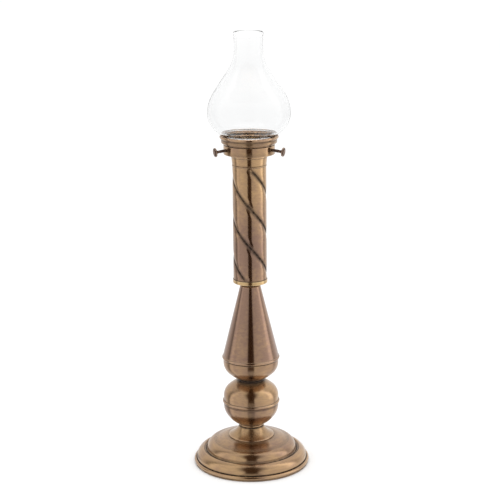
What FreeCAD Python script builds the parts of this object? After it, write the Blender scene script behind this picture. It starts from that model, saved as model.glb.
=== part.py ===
import FreeCAD, Part
import math
import os
import Sketcher

# Column oil lamp, in millimetres. +Z is up and the origin is on the lamp's axis, in the plane
# that the felt stands on. The front of the lamp faces -Y.
#
# A cast weight, a spun foot, a ball, a cone and the cup of the column are threaded on one tie
# rod and clamped by a nut at each end. The column is a twisted tube that holds a lift-out oil
# cartridge. The gallery on top carries the glass chimney and three thumbscrews.

DIMENSIONS = {
    # sheet metal
    "sheet": 1.0,
    "thin_sheet": 0.8,
    # felt and weight under the foot
    "felt_radius": 65.0,
    "felt_thick": 1.6,
    "weight_radius": 58.5,
    "weight_rim_z": 10.5,
    "weight_boss_radius": 45.0,
    "weight_boss_z": 20.0,
    "weight_hub_radius": 14.0,
    "nut_recess_radius": 13.0,
    "nut_recess_depth": 8.0,
    # foot, a spun shell of two domes
    "foot_gap": 0.4,
    "foot_edge_radius": 66.7,
    "rim_bead_low_z": 2.0,
    "rim_bead_high_z": 5.5,
    "rim_bead_bend": 2.05,
    "rim_crease_radius": 64.8,
    "lower_dome_radius": 64.3,
    "lower_dome_z": 6.2,
    "lower_dome_top_radius": 56.2,
    "lower_dome_top_z": 17.0,
    "lower_dome_bend": 10.8,
    "valley_radius": 53.2,
    "valley_z": 15.7,
    "valley_bend": 3.0,
    "upper_dome_radius": 51.9,
    "upper_dome_z": 18.0,
    "upper_dome_top_radius": 43.5,
    "upper_dome_top_z": 27.0,
    "upper_dome_bend": 9.6,
    "crown_radius": 27.0,
    "crown_z": 32.0,
    "crown_bend": 60.0,
    # trumpet collar on the foot
    "collar_rim_radius": 26.4,
    "collar_rim_high": 1.3,
    "collar_rim_bend": 0.75,
    "collar_rim_fold": 0.7,
    "collar_waist_radius": 14.1,
    "collar_waist_z": 44.6,
    "collar_bend": 22.0,
    "collar_step": 0.2,
    "collar_bead_low_z": 45.2,
    "collar_bead_bend": 1.1,
    "collar_top_z": 47.2,
    # ball, two spun half-shells that meet in a rolled bead
    "ball_radius": 31.9,
    "ball_seat_radius": 15.0,
    "ball_lower_z": 70.4,
    "ball_lower_deep": 26.7,
    "ball_lower_bend": 20.0,
    "ball_line_z": 72.2,
    "ball_line_high_z": 72.5,
    "ball_bead_low_z": 73.4,
    "ball_bead_low_radius": 32.2,
    "ball_bead_high_radius": 32.1,
    "ball_bead_bend": 1.82,
    "ball_bead_high_z": 76.7,
    "ball_upper_z": 81.4,
    "ball_upper_deep": 21.3,
    "ball_upper_bend": 15.0,
    "ball_top_z": 100.0,
    # dark spacer between the ball and the bowl of the cone
    "neck_radius": 14.6,
    "neck_top_z": 102.8,
    # bowl and cone
    "bowl_radius": 31.95,
    "bowl_seat_radius": 15.6,
    "bowl_z": 122.0,
    "bowl_deep": 22.46,
    "bowl_bend": 16.0,
    "bowl_bead_low_z": 126.7,
    "bowl_bead_radius": 32.5,
    "bowl_bead_step": 0.2,
    "bowl_bead_bend": 1.88,
    "bowl_bead_high_z": 130.1,
    "cone_radius": 32.3,
    "cone_top_radius": 11.7,
    "cone_top_z": 214.4,
    "cone_top_edge": 0.7,
    "spindle_radius": 9.4,
    "spindle_top_z": 217.6,
    # tie rod with its nuts and washers
    "rod_radius": 5.0,
    "rod_bore": 3.2,
    "rod_low_z": 2.4,
    "rod_high_z": 227.4,
    "rod_clearance": 0.1,
    "nut_corner": 8.6,
    "nut_high": 5.4,
    "washer_radius": 11.0,
    "washer_thick": 1.4,
    # twisted column
    "cup_radius": 19.75,
    "cup_rim_z": 222.0,
    "cup_floor": 1.2,
    "cup_wall": 0.45,
    "cup_edge": 0.9,
    "column_radius": 19.2,
    "column_bore": 17.6,
    "column_top_z": 353.0,
    "groove_count": 3,
    "groove_pitch": 136.0,
    "groove_front_z": 307.5,
    "groove_depth": 1.15,
    "groove_half_angle": 6.0,
    "shoulder_depth": 0.42,
    "shoulder_half_angle": 25.0,
    "neckring_radius": 19.65,
    "neckring_high": 0.9,
    "neckring_edge": 0.2,
    "neck_low_radius": 19.4,
    "neck_high_radius": 20.3,
    "column_neck_z": 363.3,
    # gallery that holds the chimney
    "boss_radius": 21.0,
    "boss_high": 3.1,
    "boss_edge": 0.6,
    "band_radius": 28.95,
    "band_low_edge": 0.9,
    "band_high_z": 376.5,
    "cove_radius": 28.5,
    "cove_z": 377.2,
    "step_low_radius": 30.9,
    "step_low_z": 379.1,
    "step_radius": 31.45,
    "step_mid_z": 380.2,
    "step_high_z": 382.7,
    "lip_radius": 33.1,
    "lip_low_z": 384.7,
    "lip_high_z": 386.1,
    "lip_top_radius": 32.5,
    "lip_top_z": 387.1,
    "gallery_sheet": 0.9,
    "cartridge_hole": 17.2,
    "air_hole_radius": 1.2,
    "air_hole_circle": 22.5,
    "air_hole_count": 16,
    "screw_z": 372.0,
    "screw_radius": 1.75,
    "screw_clearance": 0.05,
    "screw_side_angle": 23.0,
    "screw_lean": 6.2,
    "screw_hole_reach": 2.5,
    # thumbscrews
    "screw_tip_radius": 28.15,
    "screw_tip_flat": 0.5,
    "screw_shank": 9.6,
    "screw_flare": 2.0,
    "screw_flare_radius": 2.9,
    "screw_head_radius": 5.1,
    "screw_head_thick": 1.5,
    "screw_head_edge": 0.35,
    "screw_button_radius": 2.9,
    "screw_button_high": 0.6,
    # glass chimney
    "glass": 1.7,
    "glass_gap": 0.1,
    "glass_bead_radius": 27.15,
    "glass_bead_high": 3.0,
    "glass_bead_edge": 0.6,
    "glass_bead_slope": 1.2,
    "glass_neck_radius": 25.5,
    "glass_neck_z": 383.6,
    "glass_throat_bend": 3.4,
    "bulb_low_radius": 28.6,
    "bulb_low_centre_radius": 20.65,
    "bulb_radius": 46.6,
    "bulb_z": 412.0,
    "bulb_high_bend": 42.6,
    "shoulder_angle": 33.8,
    "funnel_bend": 40.0,
    "flue_radius": 16.15,
    "flue_low_z": 482.6,
    "flue_high_z": 494.5,
    "flue_bead_radius": 16.6,
    "flue_bead_z": 499.0,
    "flue_top_radius": 16.1,
    "flue_top_z": 502.0,
    # oil cartridge
    "seat_bore": 12.0,
    "seat_radius": 17.2,
    "seat_high": 11.1,
    "cartridge_radius": 16.0,
    "cartridge_low_z": 230.0,
    "cartridge_edge": 2.0,
    "cartridge_top_z": 350.5,
    "mouth_radius": 10.8,
    "mouth_top_z": 357.0,
    "mouth_clearance": 0.06,
    # burner cap with its wick
    "gasket_bore": 8.0,
    "gasket_radius": 10.5,
    "gasket_thick": 0.7,
    "cap_radius": 12.7,
    "cap_low_z": 351.4,
    "cap_top_z": 359.4,
    "cap_edge": 0.7,
    "cap_flute_count": 24,
    "cap_flute_radius": 0.7,
    "wick_tube_radius": 3.9,
    "wick_tube_bore": 3.0,
    "wick_tube_low_z": 352.0,
    "wick_tube_top_z": 372.0,
    "wick_flange_radius": 6.5,
    "wick_flange_thick": 1.2,
    "wick_radius": 2.9,
    "wick_low_z": 236.0,
    "wick_tip_z": 379.5,
    "wick_tip_round": 0.9,
}

doc = FreeCAD.newDocument("OilLamp")


def make_sheet():
    """The spreadsheet with every driving dimension."""
    table = doc.addObject("Spreadsheet::Sheet", "Dims")
    for row, (alias, value) in enumerate(DIMENSIONS.items(), start=1):
        table.set("A%d" % row, alias)
        table.set("B%d" % row, str(value))
        table.setAlias("B%d" % row, alias)
    doc.recompute()
    return table


sheet = make_sheet()


def dims(expression):
    """An expression on the sheet, written with bare aliases, in the document's own form."""
    words = []
    word = ""
    for letter in expression + " ":
        if letter.isalnum() or letter == "_":
            word += letter
            continue
        words.append("Dims." + word if word in DIMENSIONS else word)
        words.append(letter)
        word = ""
    return "".join(words).strip()


def value(expression):
    """The number that an expression on the sheet gives now."""
    return float(sheet.evalExpression(dims(expression)))


# ---- helpers shared by the sub-parts ---------------------------------------------------------

# Azimuth of the front of the lamp, in degrees about +Z from +X.
FRONT = -90

# How the inner faces of a hollowed shell meet.
ROUND_JOIN = 0
SHARP_JOIN = 1


def new_body(label):
    body = doc.addObject("PartDesign::Body", label)
    body.Label = label
    return body


def new_sketch(body, role, name="Outline"):
    """A sketch on one of the body's own origin planes."""
    sketch = body.newObject("Sketcher::SketchObject", name)
    planes = [plane for plane in body.Origin.OriginFeatures if plane.Role == role]
    sketch.AttachmentSupport = [(planes[0], "")]
    sketch.MapMode = "FlatFace"
    return sketch


def bind(sketch, constraint, expression):
    """Add a dimension to a sketch and bind it to the sheet."""
    index = sketch.addConstraint(constraint)
    sketch.setExpression("Constraints[%d]" % index, dims(expression))


def place_point(sketch, curve, end, radius, height):
    """Fix one end of a curve at a distance from the axis and a height."""
    if radius == "0":
        sketch.addConstraint(Sketcher.Constraint("PointOnObject", curve, end, -2))
    else:
        bind(sketch, Sketcher.Constraint("DistanceX", -1, 1, curve, end, value(radius)), radius)
    bind(sketch, Sketcher.Constraint("DistanceY", -1, 1, curve, end, value(height)), height)


def arc_through(start, finish, bend):
    """An arc between two points. A positive bend bows to the right of the way it is drawn."""
    chord = finish - start
    half = chord.Length / 2
    rise = abs(bend) - math.sqrt(bend * bend - half * half)
    side = FreeCAD.Vector(chord.y, -chord.x, 0).normalize()
    middle = (start + finish) / 2 + side * math.copysign(rise, bend)
    return Part.Arc(start, middle, finish)


def draw_outline(sketch, corners):
    """A closed outline. A corner is (radius, height) or (radius, height, bend), as expressions
    on the sheet, and its bend belongs to the edge that leaves it."""
    points = [FreeCAD.Vector(value(corner[0]), value(corner[1]), 0) for corner in corners]
    edges = []
    for number, corner in enumerate(corners):
        start, finish = points[number], points[(number + 1) % len(points)]
        if len(corner) == 3:
            curve = sketch.addGeometry(arc_through(start, finish, value(corner[2])), False)
            turned = (sketch.getPoint(curve, 1) - start).Length > 1e-6
            edges.append((curve, 2, 1) if turned else (curve, 1, 2))
            radius = corner[2].lstrip("-")
            bind(sketch, Sketcher.Constraint("Radius", curve, value(radius)), radius)
        else:
            curve = sketch.addGeometry(Part.LineSegment(start, finish), False)
            edges.append((curve, 1, 2))
    for number, (curve, start_end, _) in enumerate(edges):
        last_curve, _, last_finish = edges[number - 1]
        sketch.addConstraint(
            Sketcher.Constraint("Coincident", last_curve, last_finish, curve, start_end)
        )
        place_point(sketch, curve, start_end, corners[number][0], corners[number][1])


def revolve(body, corners, name="Turned"):
    """Turn a closed outline about the lamp's axis."""
    sketch = new_sketch(body, "XZ_Plane", name + "Outline")
    draw_outline(sketch, corners)
    feature = body.newObject("PartDesign::Revolution", name)
    feature.Profile = sketch
    feature.ReferenceAxis = (sketch, ["V_Axis"])
    feature.Angle = 360
    doc.recompute()
    return feature


def hollow(body, wall, open_heights, join=ROUND_JOIN):
    """Hollow a turned solid to a wall, open at its flat faces at the given heights."""
    solid = body.Tip
    heights = [value(height) for height in open_heights]
    names = []
    for number, face in enumerate(solid.Shape.Faces, start=1):
        box = face.BoundBox
        flat = box.ZLength < 1e-6
        if flat and any(abs(box.ZMin - height) < 1e-6 for height in heights):
            names.append("Face%d" % number)
    feature = body.newObject("PartDesign::Thickness", "Hollow")
    feature.Base = (solid, names)
    feature.Mode = 0
    feature.Join = join
    feature.Reversed = True
    feature.setExpression("Value", dims(wall))
    body.Tip = feature
    doc.recompute()
    if feature.Shape.Volume >= solid.Shape.Volume:
        raise RuntimeError("%s was not hollowed" % body.Label)
    return feature


def drill_axis(body, radius):
    """Drill a body through along the lamp's axis."""
    before = body.Tip.Shape.Volume
    sketch = new_sketch(body, "XY_Plane", "BoreCircle")
    circle = sketch.addGeometry(Part.Circle(FreeCAD.Vector(), FreeCAD.Vector(0, 0, 1), value(radius)))
    sketch.addConstraint(Sketcher.Constraint("Coincident", circle, 3, -1, 1))
    bind(sketch, Sketcher.Constraint("Radius", circle, value(radius)), radius)
    feature = body.newObject("PartDesign::Pocket", "Bore")
    feature.Profile = sketch
    feature.Type = "ThroughAll"
    feature.Midplane = True
    doc.recompute()
    if feature.Shape.Volume >= before:
        raise RuntimeError("%s was not drilled" % body.Label)
    return feature


def flat_ring(label, outer, inner, thick, low_z):
    """A washer-shaped body: its circles and thickness come from the sheet."""
    body = new_body(label)
    sketch = new_sketch(body, "XY_Plane", "Rings")
    for radius in (outer, inner):
        if radius is None:
            continue
        circle = Part.Circle(FreeCAD.Vector(), FreeCAD.Vector(0, 0, 1), value(radius))
        curve = sketch.addGeometry(circle)
        sketch.addConstraint(Sketcher.Constraint("Coincident", curve, 3, -1, 1))
        bind(sketch, Sketcher.Constraint("Radius", curve, value(radius)), radius)
    pad = body.newObject("PartDesign::Pad", "Pad")
    pad.Profile = sketch
    pad.setExpression("Length", dims(thick))
    body.setExpression("Placement.Base.z", dims(low_z))
    doc.recompute()
    return body


def dome_corners(radius, level, deep, bend, seat_radius, upward):
    """Corners of a spun dome, from its widest ring to the ring it is cut off at.

    The dome is two arcs that run into each other: `bend` at the widest ring, and a flatter one
    that would close on the axis at the dome's full depth."""
    sign = "+" if upward else "-"
    flat = "(({a}) * ({a}) - 2 * ({a}) * ({r}) + ({b}) * ({b})) / (2 * (({b}) - ({r})))"
    flat_bend = flat.format(a=radius, b=deep, r=bend)
    join_radius = "(({a}) - ({r})) * ({f}) / (({f}) - ({r}))".format(a=radius, r=bend, f=flat_bend)
    join_rise = "({r}) * (({f}) - ({b})) / (({f}) - ({r}))".format(b=deep, r=bend, f=flat_bend)
    cut_rise = "({b}) - ({f}) + sqrt(({f}) ^ 2 - ({c}) ^ 2)".format(
        b=deep, f=flat_bend, c=seat_radius
    )
    join_z = "(%s) %s (%s)" % (level, sign, join_rise)
    cut_z = "(%s) %s (%s)" % (level, sign, cut_rise)
    return flat_bend, (join_radius, join_z), (seat_radius, cut_z)


# ---- foot --------------------------------------------------------------------------------------


def make_felt_pad():
    return flat_ring("felt_pad", "felt_radius", None, "felt_thick", "0")


def make_base_weight():
    """Cast disc with a stepped top, a hub under the foot's crown and a recess for the nut."""
    body = new_body("base_weight")
    recess_z = "felt_thick + nut_recess_depth"
    hub_z = "crown_z - sheet"
    bore = "rod_radius + rod_clearance"
    corners = [
        (bore, recess_z),
        ("nut_recess_radius", recess_z),
        ("nut_recess_radius", "felt_thick"),
        ("weight_radius", "felt_thick"),
        ("weight_radius", "weight_rim_z"),
        ("weight_boss_radius", "weight_rim_z"),
        ("weight_boss_radius", "weight_boss_z"),
        ("weight_hub_radius", "weight_boss_z"),
        ("weight_hub_radius", hub_z),
        (bore, hub_z),
    ]
    revolve(body, corners)
    return body


def make_base_shell():
    """Spun foot: rim bead, lower dome, valley, upper dome and a flat crown."""
    body = new_body("base_shell")
    corners = [
        ("0", "foot_gap"),
        ("foot_edge_radius", "foot_gap"),
        ("foot_edge_radius", "rim_bead_low_z", "rim_bead_bend"),
        ("rim_crease_radius", "rim_bead_high_z"),
        ("lower_dome_radius", "lower_dome_z", "lower_dome_bend"),
        ("lower_dome_top_radius", "lower_dome_top_z", "-valley_bend"),
        ("valley_radius", "valley_z", "-valley_bend"),
        ("upper_dome_radius", "upper_dome_z", "upper_dome_bend"),
        ("upper_dome_top_radius", "upper_dome_top_z", "crown_bend"),
        ("crown_radius", "crown_z"),
        ("0", "crown_z"),
    ]
    revolve(body, corners)
    hollow(body, "sheet", ["foot_gap"])
    drill_axis(body, "rod_radius + rod_clearance")
    return body


def make_foot_collar():
    """Trumpet collar: a rolled rim on the foot, a waist, and a bead under the ball."""
    body = new_body("foot_collar")
    bore = "rod_radius + rod_clearance"
    edge = "collar_rim_radius - collar_rim_bend / 2"
    neck = "collar_waist_radius + collar_step"
    corners = [
        (edge + " - sheet", "crown_z"),
        (edge, "crown_z", "collar_rim_bend"),
        (edge, "crown_z + collar_rim_high", "-collar_bend"),
        ("collar_waist_radius", "collar_waist_z"),
        (neck, "collar_bead_low_z", "collar_bead_bend"),
        (neck, "collar_top_z - collar_step"),
        (neck + " - collar_step", "collar_top_z"),
        (bore, "collar_top_z"),
        (bore, "collar_top_z - sheet"),
        ("collar_waist_radius - sheet", "collar_top_z - sheet"),
        ("collar_waist_radius - sheet", "collar_waist_z", "collar_bend + sheet"),
        (edge + " - sheet", "crown_z + collar_rim_high - collar_rim_fold"),
    ]
    revolve(body, corners)
    return body


# ---- ball --------------------------------------------------------------------------------------


def make_ball_lower_shell():
    """Lower half of the ball, with the rolled bead that the upper half sits on."""
    body = new_body("ball_lower_shell")
    flat_bend, join, seat = dome_corners(
        "ball_radius", "ball_lower_z", "ball_lower_deep", "ball_lower_bend", "ball_seat_radius", False
    )
    corners = [
        ("0", seat[1]),
        (seat[0], seat[1], flat_bend),
        (join[0], join[1], "ball_lower_bend"),
        ("ball_radius", "ball_lower_z"),
        ("ball_radius", "ball_line_z"),
        ("ball_bead_low_radius", "ball_line_high_z"),
        ("ball_bead_low_radius", "ball_bead_low_z", "ball_bead_bend"),
        ("ball_bead_high_radius", "ball_bead_high_z"),
        ("0", "ball_bead_high_z"),
    ]
    revolve(body, corners)
    hollow(body, "thin_sheet", ["ball_bead_high_z"])
    drill_axis(body, "rod_radius + rod_clearance")
    return body


def make_ball_upper_shell():
    """Upper half of the ball, cut off flat under the neck spacer."""
    body = new_body("ball_upper_shell")
    flat_bend, join, seat = dome_corners(
        "ball_radius", "ball_upper_z", "ball_upper_deep", "ball_upper_bend", "neck_radius", True
    )
    corners = [
        ("0", "ball_bead_high_z"),
        ("ball_radius", "ball_bead_high_z"),
        ("ball_radius", "ball_upper_z", "ball_upper_bend"),
        (join[0], join[1], flat_bend),
        (seat[0], "ball_top_z"),
        ("0", "ball_top_z"),
    ]
    revolve(body, corners)
    hollow(body, "thin_sheet", ["ball_bead_high_z"])
    drill_axis(body, "rod_radius + rod_clearance")
    return body


def make_neck_spacer():
    bore = "rod_radius + rod_clearance"
    return flat_ring("neck_spacer", "neck_radius", bore, "neck_top_z - ball_top_z", "ball_top_z")


# ---- cone --------------------------------------------------------------------------------------


def make_cone_bowl():
    """Bowl under the cone, with a rolled bead at its rim."""
    body = new_body("cone_bowl")
    flat_bend, join, seat = dome_corners(
        "bowl_radius", "bowl_z", "bowl_deep", "bowl_bend", "bowl_seat_radius", False
    )
    corners = [
        ("0", "neck_top_z"),
        (seat[0], "neck_top_z", flat_bend),
        (join[0], join[1], "bowl_bend"),
        ("bowl_radius", "bowl_z"),
        ("bowl_radius", "bowl_bead_low_z"),
        ("bowl_bead_radius", "bowl_bead_low_z + bowl_bead_step", "bowl_bead_bend"),
        ("bowl_bead_radius - bowl_bead_step", "bowl_bead_high_z"),
        ("0", "bowl_bead_high_z"),
    ]
    revolve(body, corners)
    hollow(body, "thin_sheet", ["bowl_bead_high_z"])
    drill_axis(body, "rod_radius + rod_clearance")
    return body


def make_cone_shell():
    """Long cone, open below and closed by a small flat top."""
    body = new_body("cone_shell")
    corners = [
        ("0", "bowl_bead_high_z"),
        ("cone_radius", "bowl_bead_high_z"),
        ("cone_top_radius", "cone_top_z - cone_top_edge"),
        ("cone_top_radius - cone_top_edge", "cone_top_z"),
        ("0", "cone_top_z"),
    ]
    revolve(body, corners)
    hollow(body, "thin_sheet", ["bowl_bead_high_z"])
    drill_axis(body, "rod_radius + rod_clearance")
    return body


def make_column_spindle():
    bore = "rod_radius + rod_clearance"
    thick = "spindle_top_z - cone_top_z"
    return flat_ring("column_spindle", "spindle_radius", bore, thick, "cone_top_z")


# ---- tie rod -----------------------------------------------------------------------------------


def make_tie_rod():
    return flat_ring("tie_rod", "rod_radius", "rod_bore", "rod_high_z - rod_low_z", "rod_low_z")


def make_hex_nut(label, low_z):
    """A hexagon nut: a prism cut by its bore."""
    prism = doc.addObject("Part::Prism", label + "_prism")
    prism.Polygon = 6
    prism.setExpression("Circumradius", dims("nut_corner"))
    prism.setExpression("Height", dims("nut_high"))
    bore = doc.addObject("Part::Cylinder", label + "_bore")
    bore.setExpression("Radius", dims("rod_radius + rod_clearance"))
    bore.setExpression("Height", dims("nut_high"))
    nut = doc.addObject("Part::Cut", label)
    nut.Label = label
    nut.Base = prism
    nut.Tool = bore
    nut.setExpression("Placement.Base.z", dims(low_z))
    doc.recompute()
    return nut


def make_rod_fasteners():
    """A washer and a nut at each end of the tie rod."""
    bore = "rod_radius + rod_clearance"
    recess_z = "felt_thick + nut_recess_depth"
    floor_z = "spindle_top_z + cup_floor"
    return [
        flat_ring("base_washer", "washer_radius", bore, "washer_thick", recess_z + " - washer_thick"),
        make_hex_nut("base_nut", recess_z + " - washer_thick - nut_high"),
        flat_ring("column_washer", "washer_radius", bore, "washer_thick", floor_z),
        make_hex_nut("column_nut", floor_z + " + washer_thick"),
    ]


# ---- column ------------------------------------------------------------------------------------


def make_column_cup():
    """Bright cup that the foot of the column stands in."""
    body = new_body("column_cup")
    inner = "cup_radius - cup_wall"
    floor_z = "spindle_top_z + cup_floor"
    bore = "rod_radius + rod_clearance"
    corners = [
        (bore, "spindle_top_z"),
        ("cup_radius - cup_edge", "spindle_top_z", "cup_edge"),
        ("cup_radius", "spindle_top_z + cup_edge"),
        ("cup_radius", "cup_rim_z"),
        (inner, "cup_rim_z"),
        (inner, floor_z),
        (bore, floor_z),
    ]
    revolve(body, corners)
    return body


def column_section(radius, low_z):
    """The column's cross-section: round, with a soft-shouldered groove for each start."""
    depth = value("groove_depth")
    shoulder_depth = value("shoulder_depth")
    half = value("groove_half_angle")
    shoulder = value("shoulder_half_angle")
    count = int(value("groove_count"))
    step = 360.0 / count

    def point(reach, degrees):
        turn = math.radians(degrees)
        return FreeCAD.Vector(reach * math.cos(turn), reach * math.sin(turn), low_z)

    edges = []
    for number in range(count):
        middle = number * step
        opens = point(radius - shoulder_depth, middle - half)
        closes = point(radius - shoulder_depth, middle + half)
        ends = point(radius, middle + step - shoulder)
        edges.append(Part.makeLine(point(radius, middle - shoulder), opens))
        edges.append(Part.Arc(opens, point(radius - depth, middle), closes).toShape())
        starts = point(radius, middle + shoulder)
        edges.append(Part.makeLine(closes, starts))
        crest = point(radius, middle + step / 2)
        edges.append(Part.Arc(starts, crest, ends).toShape())
    return Part.Wire(Part.__sortEdges__(edges))


def make_column_tube():
    """Column tube. Its section is swept up the axis and twisted left-handed by a helix."""
    radius = value("column_radius")
    low_z = value("spindle_top_z + cup_floor")
    top_z = value("column_top_z")
    length = top_z - low_z
    spine = Part.Wire([Part.makeLine(FreeCAD.Vector(0, 0, low_z), FreeCAD.Vector(0, 0, top_z))])
    helix = Part.makeHelix(value("groove_pitch"), length, radius, 0, True)
    helix.translate(FreeCAD.Vector(0, 0, low_z))
    sweep = Part.BRepOffsetAPI.MakePipeShell(spine)
    sweep.setAuxiliarySpine(Part.Wire(helix.Edges), True, 0)
    sweep.add(column_section(radius, low_z))
    sweep.build()
    sweep.makeSolid()
    bore = Part.makeCylinder(value("column_bore"), length, FreeCAD.Vector(0, 0, low_z))
    tube = doc.addObject("Part::Feature", "column_tube")
    tube.Label = "column_tube"
    tube.Shape = sweep.shape().cut(bore)
    turn = FRONT + 360 * (value("groove_front_z") - low_z) / value("groove_pitch")
    spin = FreeCAD.Rotation(FreeCAD.Vector(0, 0, 1), turn)
    tube.Placement = FreeCAD.Placement(FreeCAD.Vector(), spin)
    return tube


def make_column_neck():
    """Plain tapered neck above the twisted tube, with a thin ring at its foot."""
    body = new_body("column_neck")
    corners = [
        ("column_bore", "column_top_z"),
        ("neckring_radius", "column_top_z"),
        ("neckring_radius", "column_top_z + neckring_high"),
        ("neck_low_radius", "column_top_z + neckring_high + neckring_edge"),
        ("neck_high_radius", "column_neck_z"),
        ("column_bore", "column_neck_z"),
    ]
    revolve(body, corners)
    return body


# ---- gallery -----------------------------------------------------------------------------------


def polar_holes(body, centre, radius, depth, count, name):
    """Drill one hole upwards from the ground plane and repeat it round the axis."""
    before = body.Tip.Shape.Volume
    sketch = new_sketch(body, "XY_Plane", name + "Circle")
    middle = FreeCAD.Vector(value(centre[0]), value(centre[1]), 0)
    circle = sketch.addGeometry(Part.Circle(middle, FreeCAD.Vector(0, 0, 1), value(radius)))
    place_point(sketch, circle, 3, centre[0], centre[1])
    bind(sketch, Sketcher.Constraint("Radius", circle, value(radius)), radius)
    pocket = body.newObject("PartDesign::Pocket", name)
    pocket.Profile = sketch
    pocket.Reversed = True
    pocket.setExpression("Length", dims(depth))
    doc.recompute()
    if pocket.Shape.Volume >= before:
        raise RuntimeError("%s cut nothing from %s" % (name, body.Label))
    pattern = body.newObject("PartDesign::PolarPattern", name + "Pattern")
    pattern.Originals = [pocket]
    axes = [axis for axis in body.Origin.OriginFeatures if axis.Role == "Z_Axis"]
    pattern.Axis = (axes[0], [""])
    pattern.Angle = 360
    pattern.Occurrences = int(value(count))
    body.Tip = pattern
    doc.recompute()
    return pattern


def along_screw(azimuth, reach):
    """Placement on a thumbscrew's axis, past its tip by `reach`. The screws lean down outwards."""
    lean = FreeCAD.Rotation(FreeCAD.Vector(0, 1, 0), 90 + value("screw_lean"))
    turned = FreeCAD.Rotation(FreeCAD.Vector(0, 0, 1), azimuth).multiply(lean)
    tip = value("screw_tip_radius")
    turn = math.radians(azimuth)
    place = FreeCAD.Vector(tip * math.cos(turn), tip * math.sin(turn), value("screw_z"))
    return FreeCAD.Placement(place + turned.multVec(FreeCAD.Vector(0, 0, reach)), turned)


def screw_azimuths():
    """One thumbscrew to each side, a little to the front, and one behind."""
    side = value("screw_side_angle")
    return {"right": -side, "rear": 90, "left": 180 + side}


def drill_screw_holes(body):
    """Drill the band of the gallery along each thumbscrew's axis."""
    for side, azimuth in screw_azimuths().items():
        before = body.Tip.Shape.Volume
        hole = body.newObject("PartDesign::SubtractiveCylinder", "ScrewHole_" + side)
        hole.setExpression("Radius", dims("screw_radius + screw_clearance"))
        hole.setExpression("Height", dims("2 * screw_hole_reach"))
        hole.Placement = along_screw(azimuth, -value("screw_hole_reach"))
        doc.recompute()
        if hole.Shape.Volume >= before:
            raise RuntimeError("the %s screw hole cut nothing" % side)


def make_gallery():
    """Spun gallery: boss on the column, band for the screws, cove and rolled lip."""
    body = new_body("gallery")
    band_low_z = "column_neck_z + boss_high"
    corners = [
        ("0", "column_neck_z"),
        ("boss_radius - boss_edge", "column_neck_z", "boss_edge"),
        ("boss_radius", "column_neck_z + boss_edge"),
        ("boss_radius", band_low_z),
        ("band_radius - band_low_edge", band_low_z, "band_low_edge"),
        ("band_radius", band_low_z + " + band_low_edge"),
        ("band_radius", "band_high_z"),
        ("cove_radius", "cove_z"),
        ("step_low_radius", "step_low_z"),
        ("step_radius", "step_mid_z"),
        ("step_radius", "step_high_z"),
        ("lip_radius", "lip_low_z"),
        ("lip_radius", "lip_high_z"),
        ("lip_top_radius", "lip_top_z"),
        ("0", "lip_top_z"),
    ]
    revolve(body, corners)
    hollow(body, "gallery_sheet", ["lip_top_z"], SHARP_JOIN)
    drill_axis(body, "cartridge_hole")
    air_depth = band_low_z + " + 2 * gallery_sheet"
    air_centre = ("air_hole_circle", "0")
    polar_holes(body, air_centre, "air_hole_radius", air_depth, "air_hole_count", "AirHole")
    drill_screw_holes(body)
    return body


def make_thumbscrew(label, azimuth):
    """Thumbscrew turned along its own axis, then laid radially through the gallery's band."""
    body = new_body(label)
    flare_low = "screw_shank + screw_tip_flat"
    head_low = flare_low + " + screw_flare"
    head_top = head_low + " + screw_head_thick"
    corners = [
        ("0", "0"),
        ("screw_radius - screw_tip_flat", "0"),
        ("screw_radius", "screw_tip_flat"),
        ("screw_radius", flare_low),
        ("screw_flare_radius", head_low),
        ("screw_head_radius - screw_head_edge", head_low),
        ("screw_head_radius", head_low + " + screw_head_edge"),
        ("screw_head_radius", head_top + " - screw_head_edge"),
        ("screw_head_radius - screw_head_edge", head_top),
        ("screw_button_radius", head_top),
        ("screw_button_radius - screw_head_edge", head_top + " + screw_button_high"),
        ("0", head_top + " + screw_button_high"),
    ]
    revolve(body, corners)
    body.Placement = along_screw(azimuth, 0)
    body.setExpression("Placement.Base.z", dims("screw_z"))
    doc.recompute()
    return body


def make_thumbscrews():
    return [make_thumbscrew("thumbscrew_" + side, turn) for side, turn in screw_azimuths().items()]


# ---- chimney -----------------------------------------------------------------------------------


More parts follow.
